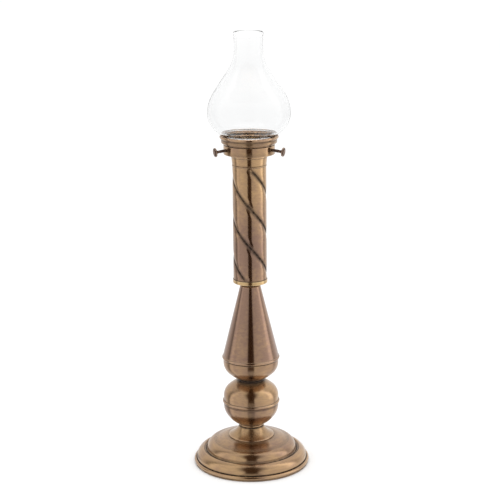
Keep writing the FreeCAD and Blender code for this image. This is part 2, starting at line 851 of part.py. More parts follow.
def make_chimney():
    """Blown chimney: seated bead, neck, bulb, funnel and flue, with an even wall."""
    body = new_body("chimney_glass")
    seat_z = "column_neck_z + boss_high + gallery_sheet + glass_gap"
    low_bend = "(bulb_radius - bulb_low_centre_radius)"
    low_reach = "(bulb_low_radius - bulb_low_centre_radius)"
    low_z = "bulb_z - sqrt({0} ^ 2 - {1} ^ 2)"
    inner_low_bend = "({0} - glass)".format(low_bend)
    high_centre = "bulb_radius - bulb_high_bend"
    cosine = "cos(shoulder_angle * 1 deg)"
    sine = "sin(shoulder_angle * 1 deg)"
    outside = [
        ("glass_neck_radius - glass", seat_z),
        ("glass_bead_radius - glass_bead_edge", seat_z, "glass_bead_edge"),
        ("glass_bead_radius", seat_z + " + glass_bead_edge"),
        ("glass_bead_radius", seat_z + " + glass_bead_high - glass_bead_slope"),
        ("glass_neck_radius", seat_z + " + glass_bead_high"),
        ("glass_neck_radius", "glass_neck_z", "-glass_throat_bend"),
        ("bulb_low_radius", low_z.format(low_bend, low_reach), low_bend),
        ("bulb_radius", "bulb_z", "bulb_high_bend"),
        (high_centre + " + bulb_high_bend * " + cosine, "bulb_z + bulb_high_bend * " + sine),
        (
            "flue_radius + funnel_bend * (1 - " + cosine + ")",
            "flue_low_z - funnel_bend * " + sine,
            "-funnel_bend",
        ),
        ("flue_radius", "flue_low_z"),
        ("flue_radius", "flue_high_z"),
        ("flue_bead_radius", "flue_bead_z"),
        ("flue_top_radius", "flue_top_z"),
    ]
    inside = [
        ("flue_top_radius - glass", "flue_top_z"),
        ("flue_radius - glass", "flue_high_z"),
        ("flue_radius - glass", "flue_low_z", "funnel_bend + glass"),
        (
            "flue_radius + funnel_bend - (funnel_bend + glass) * " + cosine,
            "flue_low_z - (funnel_bend + glass) * " + sine,
        ),
        (
            high_centre + " + (bulb_high_bend - glass) * " + cosine,
            "bulb_z + (bulb_high_bend - glass) * " + sine,
            "-(bulb_high_bend - glass)",
        ),
        ("bulb_radius - glass", "bulb_z", "-" + inner_low_bend),
        ("bulb_low_radius", low_z.format(inner_low_bend, low_reach), "glass_throat_bend + glass"),
        ("glass_neck_radius - glass", "glass_neck_z + glass / 2"),
    ]
    revolve(body, outside + inside)
    return body


# ---- oil cartridge and burner ------------------------------------------------------------------


def make_cartridge_seat():
    """Cork ring round the upper nut, on which the cartridge stands."""
    floor_z = "spindle_top_z + cup_floor"
    return flat_ring("cartridge_seat", "seat_radius", "seat_bore", "seat_high", floor_z)


def make_oil_cartridge():
    """Tank with a round bottom edge, a shoulder and an open mouth."""
    body = new_body("oil_cartridge")
    corners = [
        ("0", "cartridge_low_z"),
        ("cartridge_radius - cartridge_edge", "cartridge_low_z", "cartridge_edge"),
        ("cartridge_radius", "cartridge_low_z + cartridge_edge"),
        ("cartridge_radius", "cartridge_top_z - cartridge_edge", "cartridge_edge"),
        ("cartridge_radius - cartridge_edge", "cartridge_top_z"),
        ("mouth_radius", "cartridge_top_z"),
        ("mouth_radius", "mouth_top_z"),
        ("0", "mouth_top_z"),
    ]
    revolve(body, corners)
    hollow(body, "thin_sheet", ["mouth_top_z"])
    return body


def make_cap_gasket():
    low_z = "mouth_top_z + mouth_clearance"
    return flat_ring("cap_gasket", "gasket_radius", "gasket_bore", "gasket_thick", low_z)


def make_burner_cap():
    """Fluted screw cap over the cartridge's mouth, bored for the wick tube."""
    body = new_body("burner_cap")
    bore = "mouth_radius + mouth_clearance"
    roof_z = "mouth_top_z + mouth_clearance + gasket_thick"
    hole = "wick_tube_radius + mouth_clearance"
    corners = [
        (bore, "cap_low_z"),
        ("cap_radius", "cap_low_z"),
        ("cap_radius", "cap_top_z - cap_edge", "cap_edge"),
        ("cap_radius - cap_edge", "cap_top_z"),
        (hole, "cap_top_z"),
        (hole, roof_z),
        (bore, roof_z),
    ]
    revolve(body, corners)
    centre = ("cap_radius + cap_flute_radius / 2", "0")
    flute_top = "cap_top_z - cap_edge * 2"
    polar_holes(body, centre, "cap_flute_radius", flute_top, "cap_flute_count", "Flute")
    return body


def make_wick_tube():
    """Wick tube with the flange that is soldered on the cap."""
    body = new_body("wick_tube")
    flange_z = "cap_top_z + wick_flange_thick"
    corners = [
        ("wick_tube_bore", "wick_tube_low_z"),
        ("wick_tube_radius", "wick_tube_low_z"),
        ("wick_tube_radius", "cap_top_z"),
        ("wick_flange_radius", "cap_top_z"),
        ("wick_flange_radius", flange_z),
        ("wick_tube_radius", flange_z),
        ("wick_tube_radius", "wick_tube_top_z"),
        ("wick_tube_bore", "wick_tube_top_z"),
    ]
    revolve(body, corners)
    return body


def make_wick():
    body = new_body("wick")
    corners = [
        ("0", "wick_low_z"),
        ("wick_radius", "wick_low_z"),
        ("wick_radius", "wick_tip_z - wick_tip_round", "wick_tip_round"),
        ("wick_radius - wick_tip_round", "wick_tip_z"),
        ("0", "wick_tip_z"),
    ]
    revolve(body, corners)
    return body


# ---- the whole lamp ----------------------------------------------------------------------------


def make_lamp():
    stand = [
        make_felt_pad(),
        make_base_weight(),
        make_base_shell(),
        make_foot_collar(),
        make_ball_lower_shell(),
        make_ball_upper_shell(),
        make_neck_spacer(),
        make_cone_bowl(),
        make_cone_shell(),
        make_column_spindle(),
        make_column_cup(),
        make_column_tube(),
        make_column_neck(),
        make_gallery(),
        make_cartridge_seat(),
        make_tie_rod(),
    ]
    stand.extend(make_rod_fasteners())
    moving = [
        make_chimney(),
        make_oil_cartridge(),
        make_burner_cap(),
        make_cap_gasket(),
        make_wick_tube(),
        make_wick(),
    ]
    moving.extend(make_thumbscrews())
    return stand + moving


def check(pieces):
    """Stop if the document holds a failed feature or a sub-part that isn't one valid solid."""
    doc.recompute()
    for item in doc.Objects:
        if "Invalid" in item.State or "Error" in item.State:
            raise RuntimeError("%s failed" % item.Label)
    for piece in pieces:
        shape = piece.Shape
        if shape.isNull() or not shape.isValid() or len(shape.Solids) != 1:
            raise RuntimeError("%s is not one valid solid" % piece.Label)


def write(pieces):
    os.makedirs("parts", exist_ok=True)
    for piece in pieces:
        piece.Shape.exportStep(os.path.join("parts", piece.Label + ".step"))


lamp = make_lamp()
check(lamp)
write(lamp)
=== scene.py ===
import math

import bmesh
import bpy
import numpy as np
from mathutils import Euler, Matrix, Vector


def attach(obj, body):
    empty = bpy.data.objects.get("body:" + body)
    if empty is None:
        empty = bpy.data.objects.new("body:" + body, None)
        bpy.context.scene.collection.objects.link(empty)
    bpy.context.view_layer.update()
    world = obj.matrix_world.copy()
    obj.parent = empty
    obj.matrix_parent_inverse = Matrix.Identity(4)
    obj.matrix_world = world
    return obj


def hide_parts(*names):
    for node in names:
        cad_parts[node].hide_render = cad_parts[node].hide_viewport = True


# Column oil lamp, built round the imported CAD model. Outlines are (radius, height) corners in
# millimetres about the lamp's axis; meshes are in metres. The front of the lamp faces -Y.

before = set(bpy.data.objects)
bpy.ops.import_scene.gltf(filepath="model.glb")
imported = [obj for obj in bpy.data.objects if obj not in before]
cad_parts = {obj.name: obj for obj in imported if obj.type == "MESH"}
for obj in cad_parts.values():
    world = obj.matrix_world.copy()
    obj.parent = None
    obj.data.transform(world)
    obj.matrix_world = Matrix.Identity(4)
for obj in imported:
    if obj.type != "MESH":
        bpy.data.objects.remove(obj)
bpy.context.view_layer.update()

MM = 0.001
TURN = 2 * math.pi
SEGMENTS = 192
FRONT = -math.pi / 2

# Arcs are cut into chords of this turn, and straight runs into steps of at most this length.
ARC_STEP = math.radians(6)
RUN_STEP = 2.5
# Distances from a corner, in millimetres, at which a run gets extra rings.
CORNER_RINGS = (0.15, 0.4, 0.9)
# A corner sharper than this gets a small round.
ROUND_OVER = math.radians(18)
# The round takes at most this share of the run on either side of its corner.
ROUND_SHARE = 0.45
# How far, in millimetres, wear and grime with painted shade spread from the corner causing them.
WEAR_REACH = 0.55
# Turns, in radians, at which an outer corner is fully worn and an inner one fully grimed,
# with its painted shade at full strength.
FULL_WEAR = 1.2
FULL_GRIME_AND_SHADE = 0.7
# A point nearer the axis than this, in metres, lies on it.
AXIS_GAP = 1e-8


# ---- outlines --------------------------------------------------------------------------------


def arc_points(start, finish, bend):
    """Inner points of an arc. A positive bend bows to the right of the way it is drawn."""
    chord = finish - start
    half = chord.length / 2
    sign = math.copysign(1.0, bend)
    reach = math.sqrt(max(bend * bend - half * half, 0.0))
    inward = Vector((-chord.y, chord.x)).normalized() * sign
    centre = (start + finish) / 2 + inward * reach
    sweep = 2 * math.asin(min(half / abs(bend), 1.0))
    count = max(2, math.ceil(sweep / ARC_STEP))
    spoke = start - centre
    points = []
    for number in range(1, count):
        turn = sign * sweep * number / count
        cosine, sine = math.cos(turn), math.sin(turn)
        turned = Vector((spoke.x * cosine - spoke.y * sine, spoke.x * sine + spoke.y * cosine))
        points.append(centre + turned)
    return points


def run_points(start, finish):
    """Inner points of a straight run, closer together near its ends."""
    length = (finish - start).length
    steps = max(1, math.ceil(length / RUN_STEP))
    places = {length * number / steps for number in range(1, steps)}
    for ring in CORNER_RINGS:
        if ring < length / 2:
            places.update((ring, length - ring))
    direction = (finish - start) / length
    return [start + direction * place for place in sorted(places)]


def trace(corners, closed):
    """Points of an outline. A corner's third number is the bend of the edge that leaves it."""
    points = []
    count = len(corners)
    for number, corner in enumerate(corners):
        start = Vector(corner[:2])
        points.append(start)
        if number == count - 1 and not closed:
            break
        finish = Vector(corners[(number + 1) % count][:2])
        if len(corner) == 3:
            points.extend(arc_points(start, finish, corner[2]))
        else:
            points.extend(run_points(start, finish))
    return points


def bend_at(before, here, after):
    """Signed turn of an outline at a point, positive to the left."""
    first, second = here - before, after - here
    return math.atan2(first.x * second.y - first.y * second.x, first.dot(second))


def round_corners(points, reach):
    """Replace each sharp corner of a closed outline by a short curve."""
    rounded = []
    count = len(points)
    for number, here in enumerate(points):
        before, after = points[number - 1], points[(number + 1) % count]
        if abs(bend_at(before, here, after)) < ROUND_OVER or here.x < reach:
            rounded.append(here)
            continue
        back, ahead = before - here, after - here
        near = here + back.normalized() * min(reach, back.length * ROUND_SHARE)
        far = here + ahead.normalized() * min(reach, ahead.length * ROUND_SHARE)
        for share in (0.0, 0.25, 0.5, 0.75, 1.0):
            rounded.append(near.lerp(here, share).lerp(here.lerp(far, share), share))
    return rounded


def wall(corners, thick):
    """Closed outline of a sheet-metal shell whose outside is drawn upwards by the corners."""
    outside = trace(corners, closed=False)
    inside = []
    for number, here in enumerate(outside):
        before = outside[max(number - 1, 0)]
        after = outside[min(number + 1, len(outside) - 1)]
        along = (after - before).normalized()
        inside.append(here + Vector((-along.y, along.x)) * thick)
    return outside + inside[::-1]


def dome(radius, level, deep, bend, seat, side):
    """A spun dome of two arcs: (bend of the flat arc, where the arcs meet, where it is cut)."""
    flat = (radius**2 - 2 * radius * bend + deep**2) / (2 * (deep - bend))
    join_radius = (radius - bend) * flat / (flat - bend)
    join_rise = bend * (flat - deep) / (flat - bend)
    cut_rise = deep - flat + math.sqrt(flat**2 - seat**2)
    return flat, (join_radius, level + side * join_rise), (seat, level + side * cut_rise)


def corner_marks(points, grime_and_shade_rings):
    """Wear on outer corners, and grime with painted shade in inner ones, from 0 to 1 at each
    point of an outline.

    Each ring is (radius, height, reach, strength) of grime and painted shade that a neighbour
    leaves."""
    count = len(points)
    steps = [(points[(number + 1) % count] - points[number]).length for number in range(count)]
    places = np.concatenate(([0.0], np.cumsum(steps)))
    length = places[-1]
    places = places[:-1]
    turns = np.array(
        [bend_at(points[n - 1], points[n], points[(n + 1) % count]) for n in range(count)]
    )
    apart = np.abs(places[:, None] - places[None, :])
    apart = np.minimum(apart, length - apart)
    spread = np.exp(-((apart / WEAR_REACH) ** 2)) @ turns
    wear = np.clip(spread / FULL_WEAR, 0, 1)
    # Inner corners get grime and painted shade, darkest in the tightest creases.
    grime_and_shade = np.clip(-spread / FULL_GRIME_AND_SHADE, 0, 1)
    # Each ring adds grime and painted shade where a neighbour meets or hangs over the piece.
    for radius, height, reach, strength in grime_and_shade_rings:
        distance = np.array([math.hypot(p.x - radius, p.y - height) for p in points])
        grime_and_shade = np.maximum(grime_and_shade, strength * np.exp(-((distance / reach) ** 2)))
    return wear, grime_and_shade


# ---- turned meshes ---------------------------------------------------------------------------


def new_piece(name, mesh):
    piece = bpy.data.objects.new(name, mesh)
    bpy.context.scene.collection.objects.link(piece)
    return piece


def mesh_from(work, name):
    """Turn a working mesh into a stored one and free it."""
    mesh = bpy.data.meshes.new(name)
    work.to_mesh(mesh)
    work.free()
    return mesh


def shade(mesh, sharp=35):
    """Smooth faces with a hard edge wherever they meet at more than the sharp angle."""
    mesh.polygons.foreach_set("use_smooth", [True] * len(mesh.polygons))
    mesh.set_sharp_from_angle(angle=math.radians(sharp))


def paint(mesh, name, values):
    """Store one number per vertex for the material to read."""
    layer = mesh.attributes.new(name, "FLOAT", "POINT")
    layer.data.foreach_set("value", np.asarray(values, np.float32))


def turned(name, outline, grime_and_shade_rings=(), edge=0.22, turns=None, twist=None, carve=None):
    """Turn a closed outline about Z. carve(u, height) gives how much a point is cut back by,
    and how much grime and painted shade it gets.
    """
    points = round_corners(outline, edge)
    wear, grime_and_shade = corner_marks(points, grime_and_shade_rings)
    spokes = [TURN * number / SEGMENTS for number in range(SEGMENTS)] if turns is None else turns
    around, along = len(spokes), len(points)
    vertices, worn, grime_and_shade_per_point = [], [], []
    for spoke in spokes:
        for number, point in enumerate(points):
            angle = spoke + (twist(point.y) if twist else 0.0)
            cut, dirt_and_shade = carve(spoke, point) if carve else (0.0, 0.0)
            reach = max(point.x - cut, 0.0) * MM
            vertices.append((reach * math.cos(angle), reach * math.sin(angle), point.y * MM))
            worn.append(wear[number])
            grime_and_shade_per_point.append(max(grime_and_shade[number], dirt_and_shade))
    faces = []
    for spoke in range(around):
        first, second = spoke * along, (spoke + 1) % around * along
        for number in range(along):
            up = (number + 1) % along
            faces.append((first + number, second + number, second + up, first + up))
    mesh = bpy.data.meshes.new(name)
    mesh.from_pydata(vertices, [], faces)
    paint(mesh, "wear", worn)
    # Grime with painted shade, darkest in creases, joints and cuts, is stored for the material.
    paint(mesh, "grime_and_shade", grime_and_shade_per_point)
    if min(point.x for point in points) * MM < AXIS_GAP:
        close_axis(mesh)
    shade(mesh)
    return new_piece(name, mesh)


def close_axis(mesh):
    """Join the points that lie on the axis, and drop the faces that this flattens."""
    work = bmesh.new()
    work.from_mesh(mesh)
    on_axis = [v for v in work.verts if math.hypot(v.co.x, v.co.y) < AXIS_GAP]
    bmesh.ops.remove_doubles(work, verts=on_axis, dist=AXIS_GAP)
    bmesh.ops.dissolve_degenerate(work, edges=work.edges, dist=AXIS_GAP / 10)
    work.to_mesh(mesh)
    work.free()


def give(piece, body, node, slot):
    """Put a finished piece on its body in place of its CAD node, in its slot's material."""
    piece.data.materials.clear()
    piece.data.materials.append(MATERIALS[slot])
    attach(piece, body)
    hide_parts(node)
    return piece


# ---- material helpers ------------------------------------------------------------------------


class Tree:
    """A material and short calls for its nodes."""

    def __init__(self, name):
        self.material = bpy.data.materials.new(name)
        self.material.use_nodes = True
        self.nodes = self.material.node_tree.nodes
        self.links = self.material.node_tree.links
        self.shader = self.nodes["Principled BSDF"]

    def put(self, socket, value):
        if isinstance(value, bpy.types.NodeSocket):
            self.links.new(value, socket)
        else:
            socket.default_value = value

    def set(self, **values):
        """Set the shader's own sockets; an underscore in a name stands for a space."""
        for name, value in values.items():
            self.put(self.shader.inputs[name.replace("_", " ")], value)

    def place(self):
        return self.nodes.new("ShaderNodeTexCoord").outputs["Object"]

    def math(self, operation, *values, clamp=False):
        node = self.nodes.new("ShaderNodeMath")
        node.operation = operation
        node.use_clamp = clamp
        for socket, value in zip(node.inputs, values):
            self.put(socket, value)
        return node.outputs[0]

    def distance(self, x, y):
        """Length of the vector (x, y)."""
        squares = self.math("ADD", self.math("POWER", x, 2.0), self.math("POWER", y, 2.0))
        return self.math("SQRT", squares)

    def stretch(self, vector, factors):
        node = self.nodes.new("ShaderNodeVectorMath")
        node.operation = "MULTIPLY"
        self.put(node.inputs[0], vector)
        self.put(node.inputs[1], factors)
        return node.outputs[0]

    def split(self, vector):
        node = self.nodes.new("ShaderNodeSeparateXYZ")
        self.put(node.inputs[0], vector)
        return node.outputs[0], node.outputs[1], node.outputs[2]

    def join(self, x, y, z):
        node = self.nodes.new("ShaderNodeCombineXYZ")
        for socket, value in zip(node.inputs, (x, y, z)):
            self.put(socket, value)
        return node.outputs[0]

    def noise(self, vector, scale, detail=2.0, w=None):
        node = self.nodes.new("ShaderNodeTexNoise")
        if w is not None:
            node.noise_dimensions = "4D"
            self.put(node.inputs["W"], w)
        self.put(node.inputs["Vector"], vector)
        node.inputs["Scale"].default_value = scale
        node.inputs["Detail"].default_value = detail
        return node.outputs["Fac"]

    def cells(self, vector, scale):
        node = self.nodes.new("ShaderNodeTexVoronoi")
        self.put(node.inputs["Vector"], vector)
        node.inputs["Scale"].default_value = scale
        return node.outputs["Distance"]

    def level(self, value, low, high, to_low=0.0, to_high=1.0):
        """Map a value from one range to another, held at both ends."""
        node = self.nodes.new("ShaderNodeMapRange")
        for socket, number in zip(node.inputs, (value, low, high, to_low, to_high)):
            self.put(socket, number)
        return node.outputs[0]

    def ramp(self, value, stops):
        node = self.nodes.new("ShaderNodeValToRGB")
        elements = node.color_ramp.elements
        elements.remove(elements[1])
        elements[0].position = stops[0][0]
        elements[0].color = (stops[0][1],) * 3 + (1,)
        for place, grey in stops[1:]:
            elements.new(place).color = (grey,) * 3 + (1,)
        self.put(node.inputs[0], value)
        return node.outputs["Color"]

    def by_height(self, z, stops, tall):
        """A ramp over the heights from 0 to tall, in metres."""
        shares = [(height / tall, share) for height, share in stops]
        return self.ramp(self.math("DIVIDE", z, tall), shares)

    def mix(self, share, first, second):
        node = self.nodes.new("ShaderNodeMix")
        node.data_type = "RGBA"
        colours = [socket for socket in node.inputs if socket.type == "RGBA"]
        self.put(node.inputs[0], share)
        self.put(colours[0], first)
        self.put(colours[1], second)
        return [socket for socket in node.outputs if socket.type == "RGBA"][0]

    def stored(self, name):
        node = self.nodes.new("ShaderNodeAttribute")
        node.attribute_name = name
        return node.outputs["Fac"]

    def facing(self):
        """0 where the surface faces the viewer, 1 where it turns away."""
        node = self.nodes.new("ShaderNodeLayerWeight")
        return node.outputs["Facing"]

    def bump(self, height, distance):
        node = self.nodes.new("ShaderNodeBump")
        node.inputs["Strength"].default_value = 1.0
        node.inputs["Distance"].default_value = distance
        self.put(node.inputs["Height"], height)
        self.set(Normal=node.outputs[0])

    def spin(self):
        """Brushing that runs round the piece's own axis, so reflections smear along it."""
        node = self.nodes.new("ShaderNodeTangent")
        node.direction_type = "RADIAL"
        node.axis = "Z"
        quarter_turn = 0.25
        self.set(Tangent=node.outputs[0], Anisotropic_Rotation=quarter_turn)


def colour(red, green, blue):
    return (red, green, blue, 1.0)


def grain(tree, fine=3300.0):
    """Brush lines that run round the axis: a fine and a coarse set, each from 0 to 1."""
    x, y, z = tree.split(tree.place())
    radius = tree.distance(x, y)
    round_scale = 5.0
    around_x = tree.math("MULTIPLY", tree.math("DIVIDE", x, radius), round_scale)
    around_y = tree.math("MULTIPLY", tree.math("DIVIDE", y, radius), round_scale)
    sets = []
    coarse = fine / 11
    for scale, detail in ((fine, 3.0), (coarse, 2.0)):
        where = tree.join(around_x, around_y, tree.math("MULTIPLY", z, scale))
        sets.append(tree.noise(where, 1.0, detail, w=tree.math("MULTIPLY", radius, scale)))
    return sets[0], sets[1], z


# Share of rosy patina in the lacquered brass, by height in metres.
TONE_BY_HEIGHT = (
    (0.000, 0.30),
    (0.012, 0.20),
    (0.030, 0.50),
    (0.034, 0.08),
    (0.047, 0.10),
    (0.050, 0.50),
    (0.072, 0.75),
    (0.078, 0.45),
    (0.100, 0.25),
    (0.106, 0.40),
    (0.127, 0.55),
    (0.131, 0.90),
    (0.212, 0.95),
    (0.222, 0.85),
    (0.262, 0.80),
    (0.300, 0.45),
    (0.330, 0.10),
    (0.364, 0.05),
    (0.372, 0.30),
    (0.388, 0.55),
)


def make_antique_brass():
    """Spun brass under lacquer: gold to rosy brown, bright on worn edges, and dark in the creases
    with grime and painted shade.
    """
    tree = Tree("antique_brass")
    fine, coarse, z = grain(tree)
    grime_and_shade, wear = tree.stored("grime_and_shade"), tree.stored("wear")
    tone = tree.by_height(z, TONE_BY_HEIGHT, tall=0.4)
    cloud = tree.noise(tree.stretch(tree.place(), (1.0, 1.0, 0.55)), 34.0, 3.0)
    drift = tree.level(cloud, 0.3, 0.7, -0.35, 0.35)
    bands = tree.level(coarse, 0.3, 0.7, -0.22, 0.22)
    share = tree.math("ADD", tree.math("ADD", tone, drift), bands, clamp=True)
    body = tree.mix(share, colour(0.520, 0.335, 0.172), colour(0.290, 0.182, 0.132))
    streaked = tree.mix(tree.level(fine, 0.35, 0.75, 0.0, 0.42), body, colour(0.22, 0.13, 0.09))
    specks = tree.level(tree.noise(tree.place(), 950.0, 1.0), 0.76, 0.80, 0.0, 0.75)
    pitted = tree.mix(specks, streaked, colour(0.05, 0.03, 0.02))
    worn = tree.mix(tree.math("MULTIPLY", wear, 0.4), pitted, colour(0.62, 0.43, 0.29))
    blot = tree.level(tree.noise(tree.place(), 260.0, 3.0), 0.3, 0.7, 0.8, 1.15)
    # Grime with painted shade, broken up by blots, turns the brass near black and dull in creases.
    dirt_and_shade = tree.math("MULTIPLY", grime_and_shade, blot, clamp=True)
    tree.set(
        Base_Color=tree.mix(dirt_and_shade, worn, colour(0.012, 0.008, 0.006)),
        Metallic=tree.level(dirt_and_shade, 0.0, 1.0, 1.0, 0.15),
        Specular_IOR_Level=tree.level(dirt_and_shade, 0.0, 1.0, 0.5, 0.05),
        Roughness=tree.math(
            "ADD",
            tree.level(fine, 0.3, 0.7, 0.15, 0.25),
            tree.math("ADD", tree.math("MULTIPLY", dirt_and_shade, 0.3), tree.math("MULTIPLY", drift, 0.06)),
        ),
        Anisotropic=0.85,
        Coat_Weight=tree.level(dirt_and_shade, 0.0, 1.0, 0.12, 0.0),
        Coat_Roughness=0.08,
    )
    tree.spin()
    tree.bump(tree.math("ADD", tree.math("MULTIPLY", fine, 0.5), coarse), 0.000005)
    return tree.material


def make_bright_brass():
    """Polished brass of the cup: little patina, fine polishing lines."""
    tree = Tree("bright_brass")
    fine, coarse, _ = grain(tree, fine=2400.0)
    grime_and_shade, wear = tree.stored("grime_and_shade"), tree.stored("wear")
    patina = tree.level(coarse, 0.3, 0.7)
    body = tree.mix(patina, colour(0.60, 0.42, 0.21), colour(0.50, 0.33, 0.17))
    worn = tree.mix(tree.math("MULTIPLY", wear, 0.5), body, colour(0.80, 0.62, 0.38))
    tree.set(
        # Grime with painted shade darkens the cup in its creases and where its neighbours meet it.
        Base_Color=tree.mix(grime_and_shade, worn, colour(0.06, 0.04, 0.025)),
        Metallic=1.0,
        Roughness=tree.math(
            "ADD", tree.level(fine, 0.3, 0.7, 0.16, 0.26), tree.math("MULTIPLY", grime_and_shade, 0.3)
        ),
        Anisotropic=0.6,
    )
    tree.spin()
    tree.bump(fine, 0.000008)
    return tree.material


def make_dark_bronze():
    """Brown-black bronze of the screws and spacers, rubbed through on its edges."""
    tree = Tree("dark_bronze")
    fine, coarse, _ = grain(tree, fine=2600.0)
    grime_and_shade, wear = tree.stored("grime_and_shade"), tree.stored("wear")
    cloud = tree.level(tree.noise(tree.place(), 420.0, 3.0), 0.3, 0.7)
    body = tree.mix(cloud, colour(0.13, 0.078, 0.058), colour(0.22, 0.14, 0.105))
    rubbed = tree.mix(tree.math("MULTIPLY", wear, 0.6), body, colour(0.40, 0.27, 0.19))
    tree.set(
        # Grime with painted shade turns the bronze near black in creases, and over the spacer
        # rings' faces.
        Base_Color=tree.mix(grime_and_shade, rubbed, colour(0.010, 0.007, 0.005)),
        Metallic=tree.level(grime_and_shade, 0.0, 1.0, 0.95, 0.2),
        Specular_IOR_Level=0.2,
        Roughness=tree.math(
            "ADD", tree.level(coarse, 0.3, 0.7, 0.28, 0.42), tree.math("MULTIPLY", grime_and_shade, 0.25)
        ),
        Anisotropic=0.4,
    )
    tree.spin()
    tree.bump(fine, 0.00001)
    return tree.material


# Painted shade in the glass where its curve turns, as a grey by height in metres.
GLASS_SHADE_BY_HEIGHT = (
    (0.384, 1.0),
    (0.405, 1.0),
    (0.420, 0.45),
    (0.436, 0.0),
    (0.455, 0.0),
    (0.464, 0.55),
    (0.476, 0.35),
    (0.492, 0.0),
)


def make_clear_glass():
    """Blown clear glass with the faint waves of its making, greyed by painted shade where its
    curve turns and along its edges.
    """
    tree = Tree("clear_glass")
    waves = tree.noise(tree.stretch(tree.place(), (1.0, 1.0, 0.35)), 70.0, 2.0)
    film = tree.noise(tree.place(), 24.0, 3.0)
    smear = tree.level(film, 0.35, 0.65)
    clear = tree.mix(smear, colour(0.985, 0.986, 0.986), colour(0.972, 0.974, 0.974))
    _, _, z = tree.split(tree.place())
    # Painted shade: the glass greys by height where its curve turns.
    glass_shade = tree.by_height(z, GLASS_SHADE_BY_HEIGHT, tall=0.55)
    shaded_glass = tree.mix(glass_shade, clear, colour(0.935, 0.937, 0.938))
    # Painted shade: the glass greys along its edges, where it turns from the viewer.
    edge_shade = tree.level(tree.facing(), 0.35, 0.85)
    tree.set(
        Base_Color=tree.mix(edge_shade, shaded_glass, colour(0.88, 0.885, 0.888)),
        Roughness=tree.level(film, 0.35, 0.65, 0.0, 0.025),
        IOR=1.47,
        Specular_Tint=colour(0.3, 0.3, 0.3),
        Transmission_Weight=1.0,
    )
    tree.bump(waves, 0.00012)
    return tree.material


def make_cast_iron():
    tree = Tree("cast_iron")
    lumps = tree.noise(tree.place(), 700.0, 4.0)
    rust = tree.level(tree.noise(tree.place(), 60.0, 4.0), 0.5, 0.7, 0.0, 0.5)
    body = tree.mix(lumps, colour(0.05, 0.05, 0.052), colour(0.10, 0.098, 0.096))
    tree.set(
        Base_Color=tree.mix(rust, body, colour(0.16, 0.07, 0.035)),
        Metallic=0.6,
        Roughness=tree.level(lumps, 0.3, 0.7, 0.55, 0.8),
    )
    tree.bump(lumps, 0.0002)
    return tree.material


def make_green_felt():
    tree = Tree("green_felt")
    fibres = tree.noise(tree.place(), 1500.0, 5.0)
    cloud = tree.noise(tree.place(), 90.0, 3.0)
    body = tree.mix(cloud, colour(0.018, 0.075, 0.040), colour(0.030, 0.115, 0.062))
    tree.set(
        Base_Color=tree.mix(tree.level(fibres, 0.4, 0.7, 0.0, 0.5), body, colour(0.07, 0.20, 0.12)),
        Roughness=tree.level(fibres, 0.3, 0.7, 0.85, 1.0),
        Sheen_Weight=0.4,
        Sheen_Roughness=0.6,
    )
    tree.bump(fibres, 0.0004)
    return tree.material


def make_zinc_steel():
    tree = Tree("zinc_steel")
    spangle = tree.cells(tree.place(), 420.0)
    fine, _, _ = grain(tree, fine=1800.0)
    tree.set(
        Base_Color=tree.mix(spangle, colour(0.55, 0.56, 0.57), colour(0.40, 0.40, 0.38)),
        Metallic=1.0,
        Roughness=tree.level(fine, 0.3, 0.7, 0.25, 0.42),
    )
    tree.bump(fine, 0.00002)
    return tree.material


def make_cork():
    tree = Tree("cork")
    grains = tree.cells(tree.place(), 620.0)
    dark = tree.level(tree.noise(tree.place(), 350.0, 3.0), 0.55, 0.68)
    body = tree.mix(grains, colour(0.42, 0.25, 0.12), colour(0.56, 0.36, 0.19))
    tree.set(
        Base_Color=tree.mix(dark, body, colour(0.16, 0.08, 0.04)),
        Roughness=tree.level(grains, 0.0, 1.0, 0.75, 0.95),
    )
    tree.bump(grains, 0.0003)
    return tree.material


def make_cartridge_metal():
    """Tinned steel of the oil cartridge, dull, with faint stains of oil near its shoulder."""
    tree = Tree("cartridge_metal")
    fine, coarse, z = grain(tree, fine=1500.0)
    stain = tree.noise(tree.place(), 75.0, 4.0)
    body = tree.mix(coarse, colour(0.52, 0.51, 0.49), colour(0.42, 0.41, 0.40))
    shoulder = tree.level(z, 0.325, 0.35)
    oily = tree.math("MULTIPLY", shoulder, tree.level(stain, 0.4, 0.65), clamp=True)
    stained = tree.mix(tree.math("MULTIPLY", oily, 0.6), body, colour(0.30, 0.22, 0.12))
    tree.set(
        # Grime with painted shade darkens the cartridge at its shoulders and neck.
        Base_Color=tree.mix(tree.stored("grime_and_shade"), stained, colour(0.06, 0.05, 0.04)),
        Metallic=1.0,
        Roughness=tree.math(
            "ADD", tree.level(fine, 0.3, 0.7, 0.26, 0.40), tree.math("MULTIPLY", oily, 0.15)
        ),
        Anisotropic=0.5,
    )
    tree.spin()
    tree.bump(fine, 0.00001)
    return tree.material


def make_burner_brass():
    """Plain brass of the burner, browned by heat towards the top of the wick tube."""
    tree = Tree("burner_brass")
    fine, coarse, z = grain(tree, fine=2000.0)
    grime_and_shade, wear = tree.stored("grime_and_shade"), tree.stored("wear")
    body = tree.mix(coarse, colour(0.62, 0.43, 0.20), colour(0.50, 0.34, 0.16))
    heat = tree.level(z, 0.362, 0.372, 0.0, 0.75)
    browned = tree.mix(heat, body, colour(0.13, 0.085, 0.055))
    worn = tree.mix(tree.math("MULTIPLY", wear, 0.5), browned, colour(0.78, 0.60, 0.34))
    tree.set(
        # Grime with painted shade darkens the burner in its flutes and where the wick tube meets
        # the cap.
        Base_Color=tree.mix(grime_and_shade, worn, colour(0.05, 0.035, 0.02)),
        Metallic=1.0,
        Roughness=tree.math(
            "ADD", tree.level(fine, 0.3, 0.7, 0.22, 0.36), tree.math("MULTIPLY", heat, 0.15)
        ),
        Anisotropic=0.5,
    )
    tree.spin()
    tree.bump(fine, 0.00001)
    return tree.material


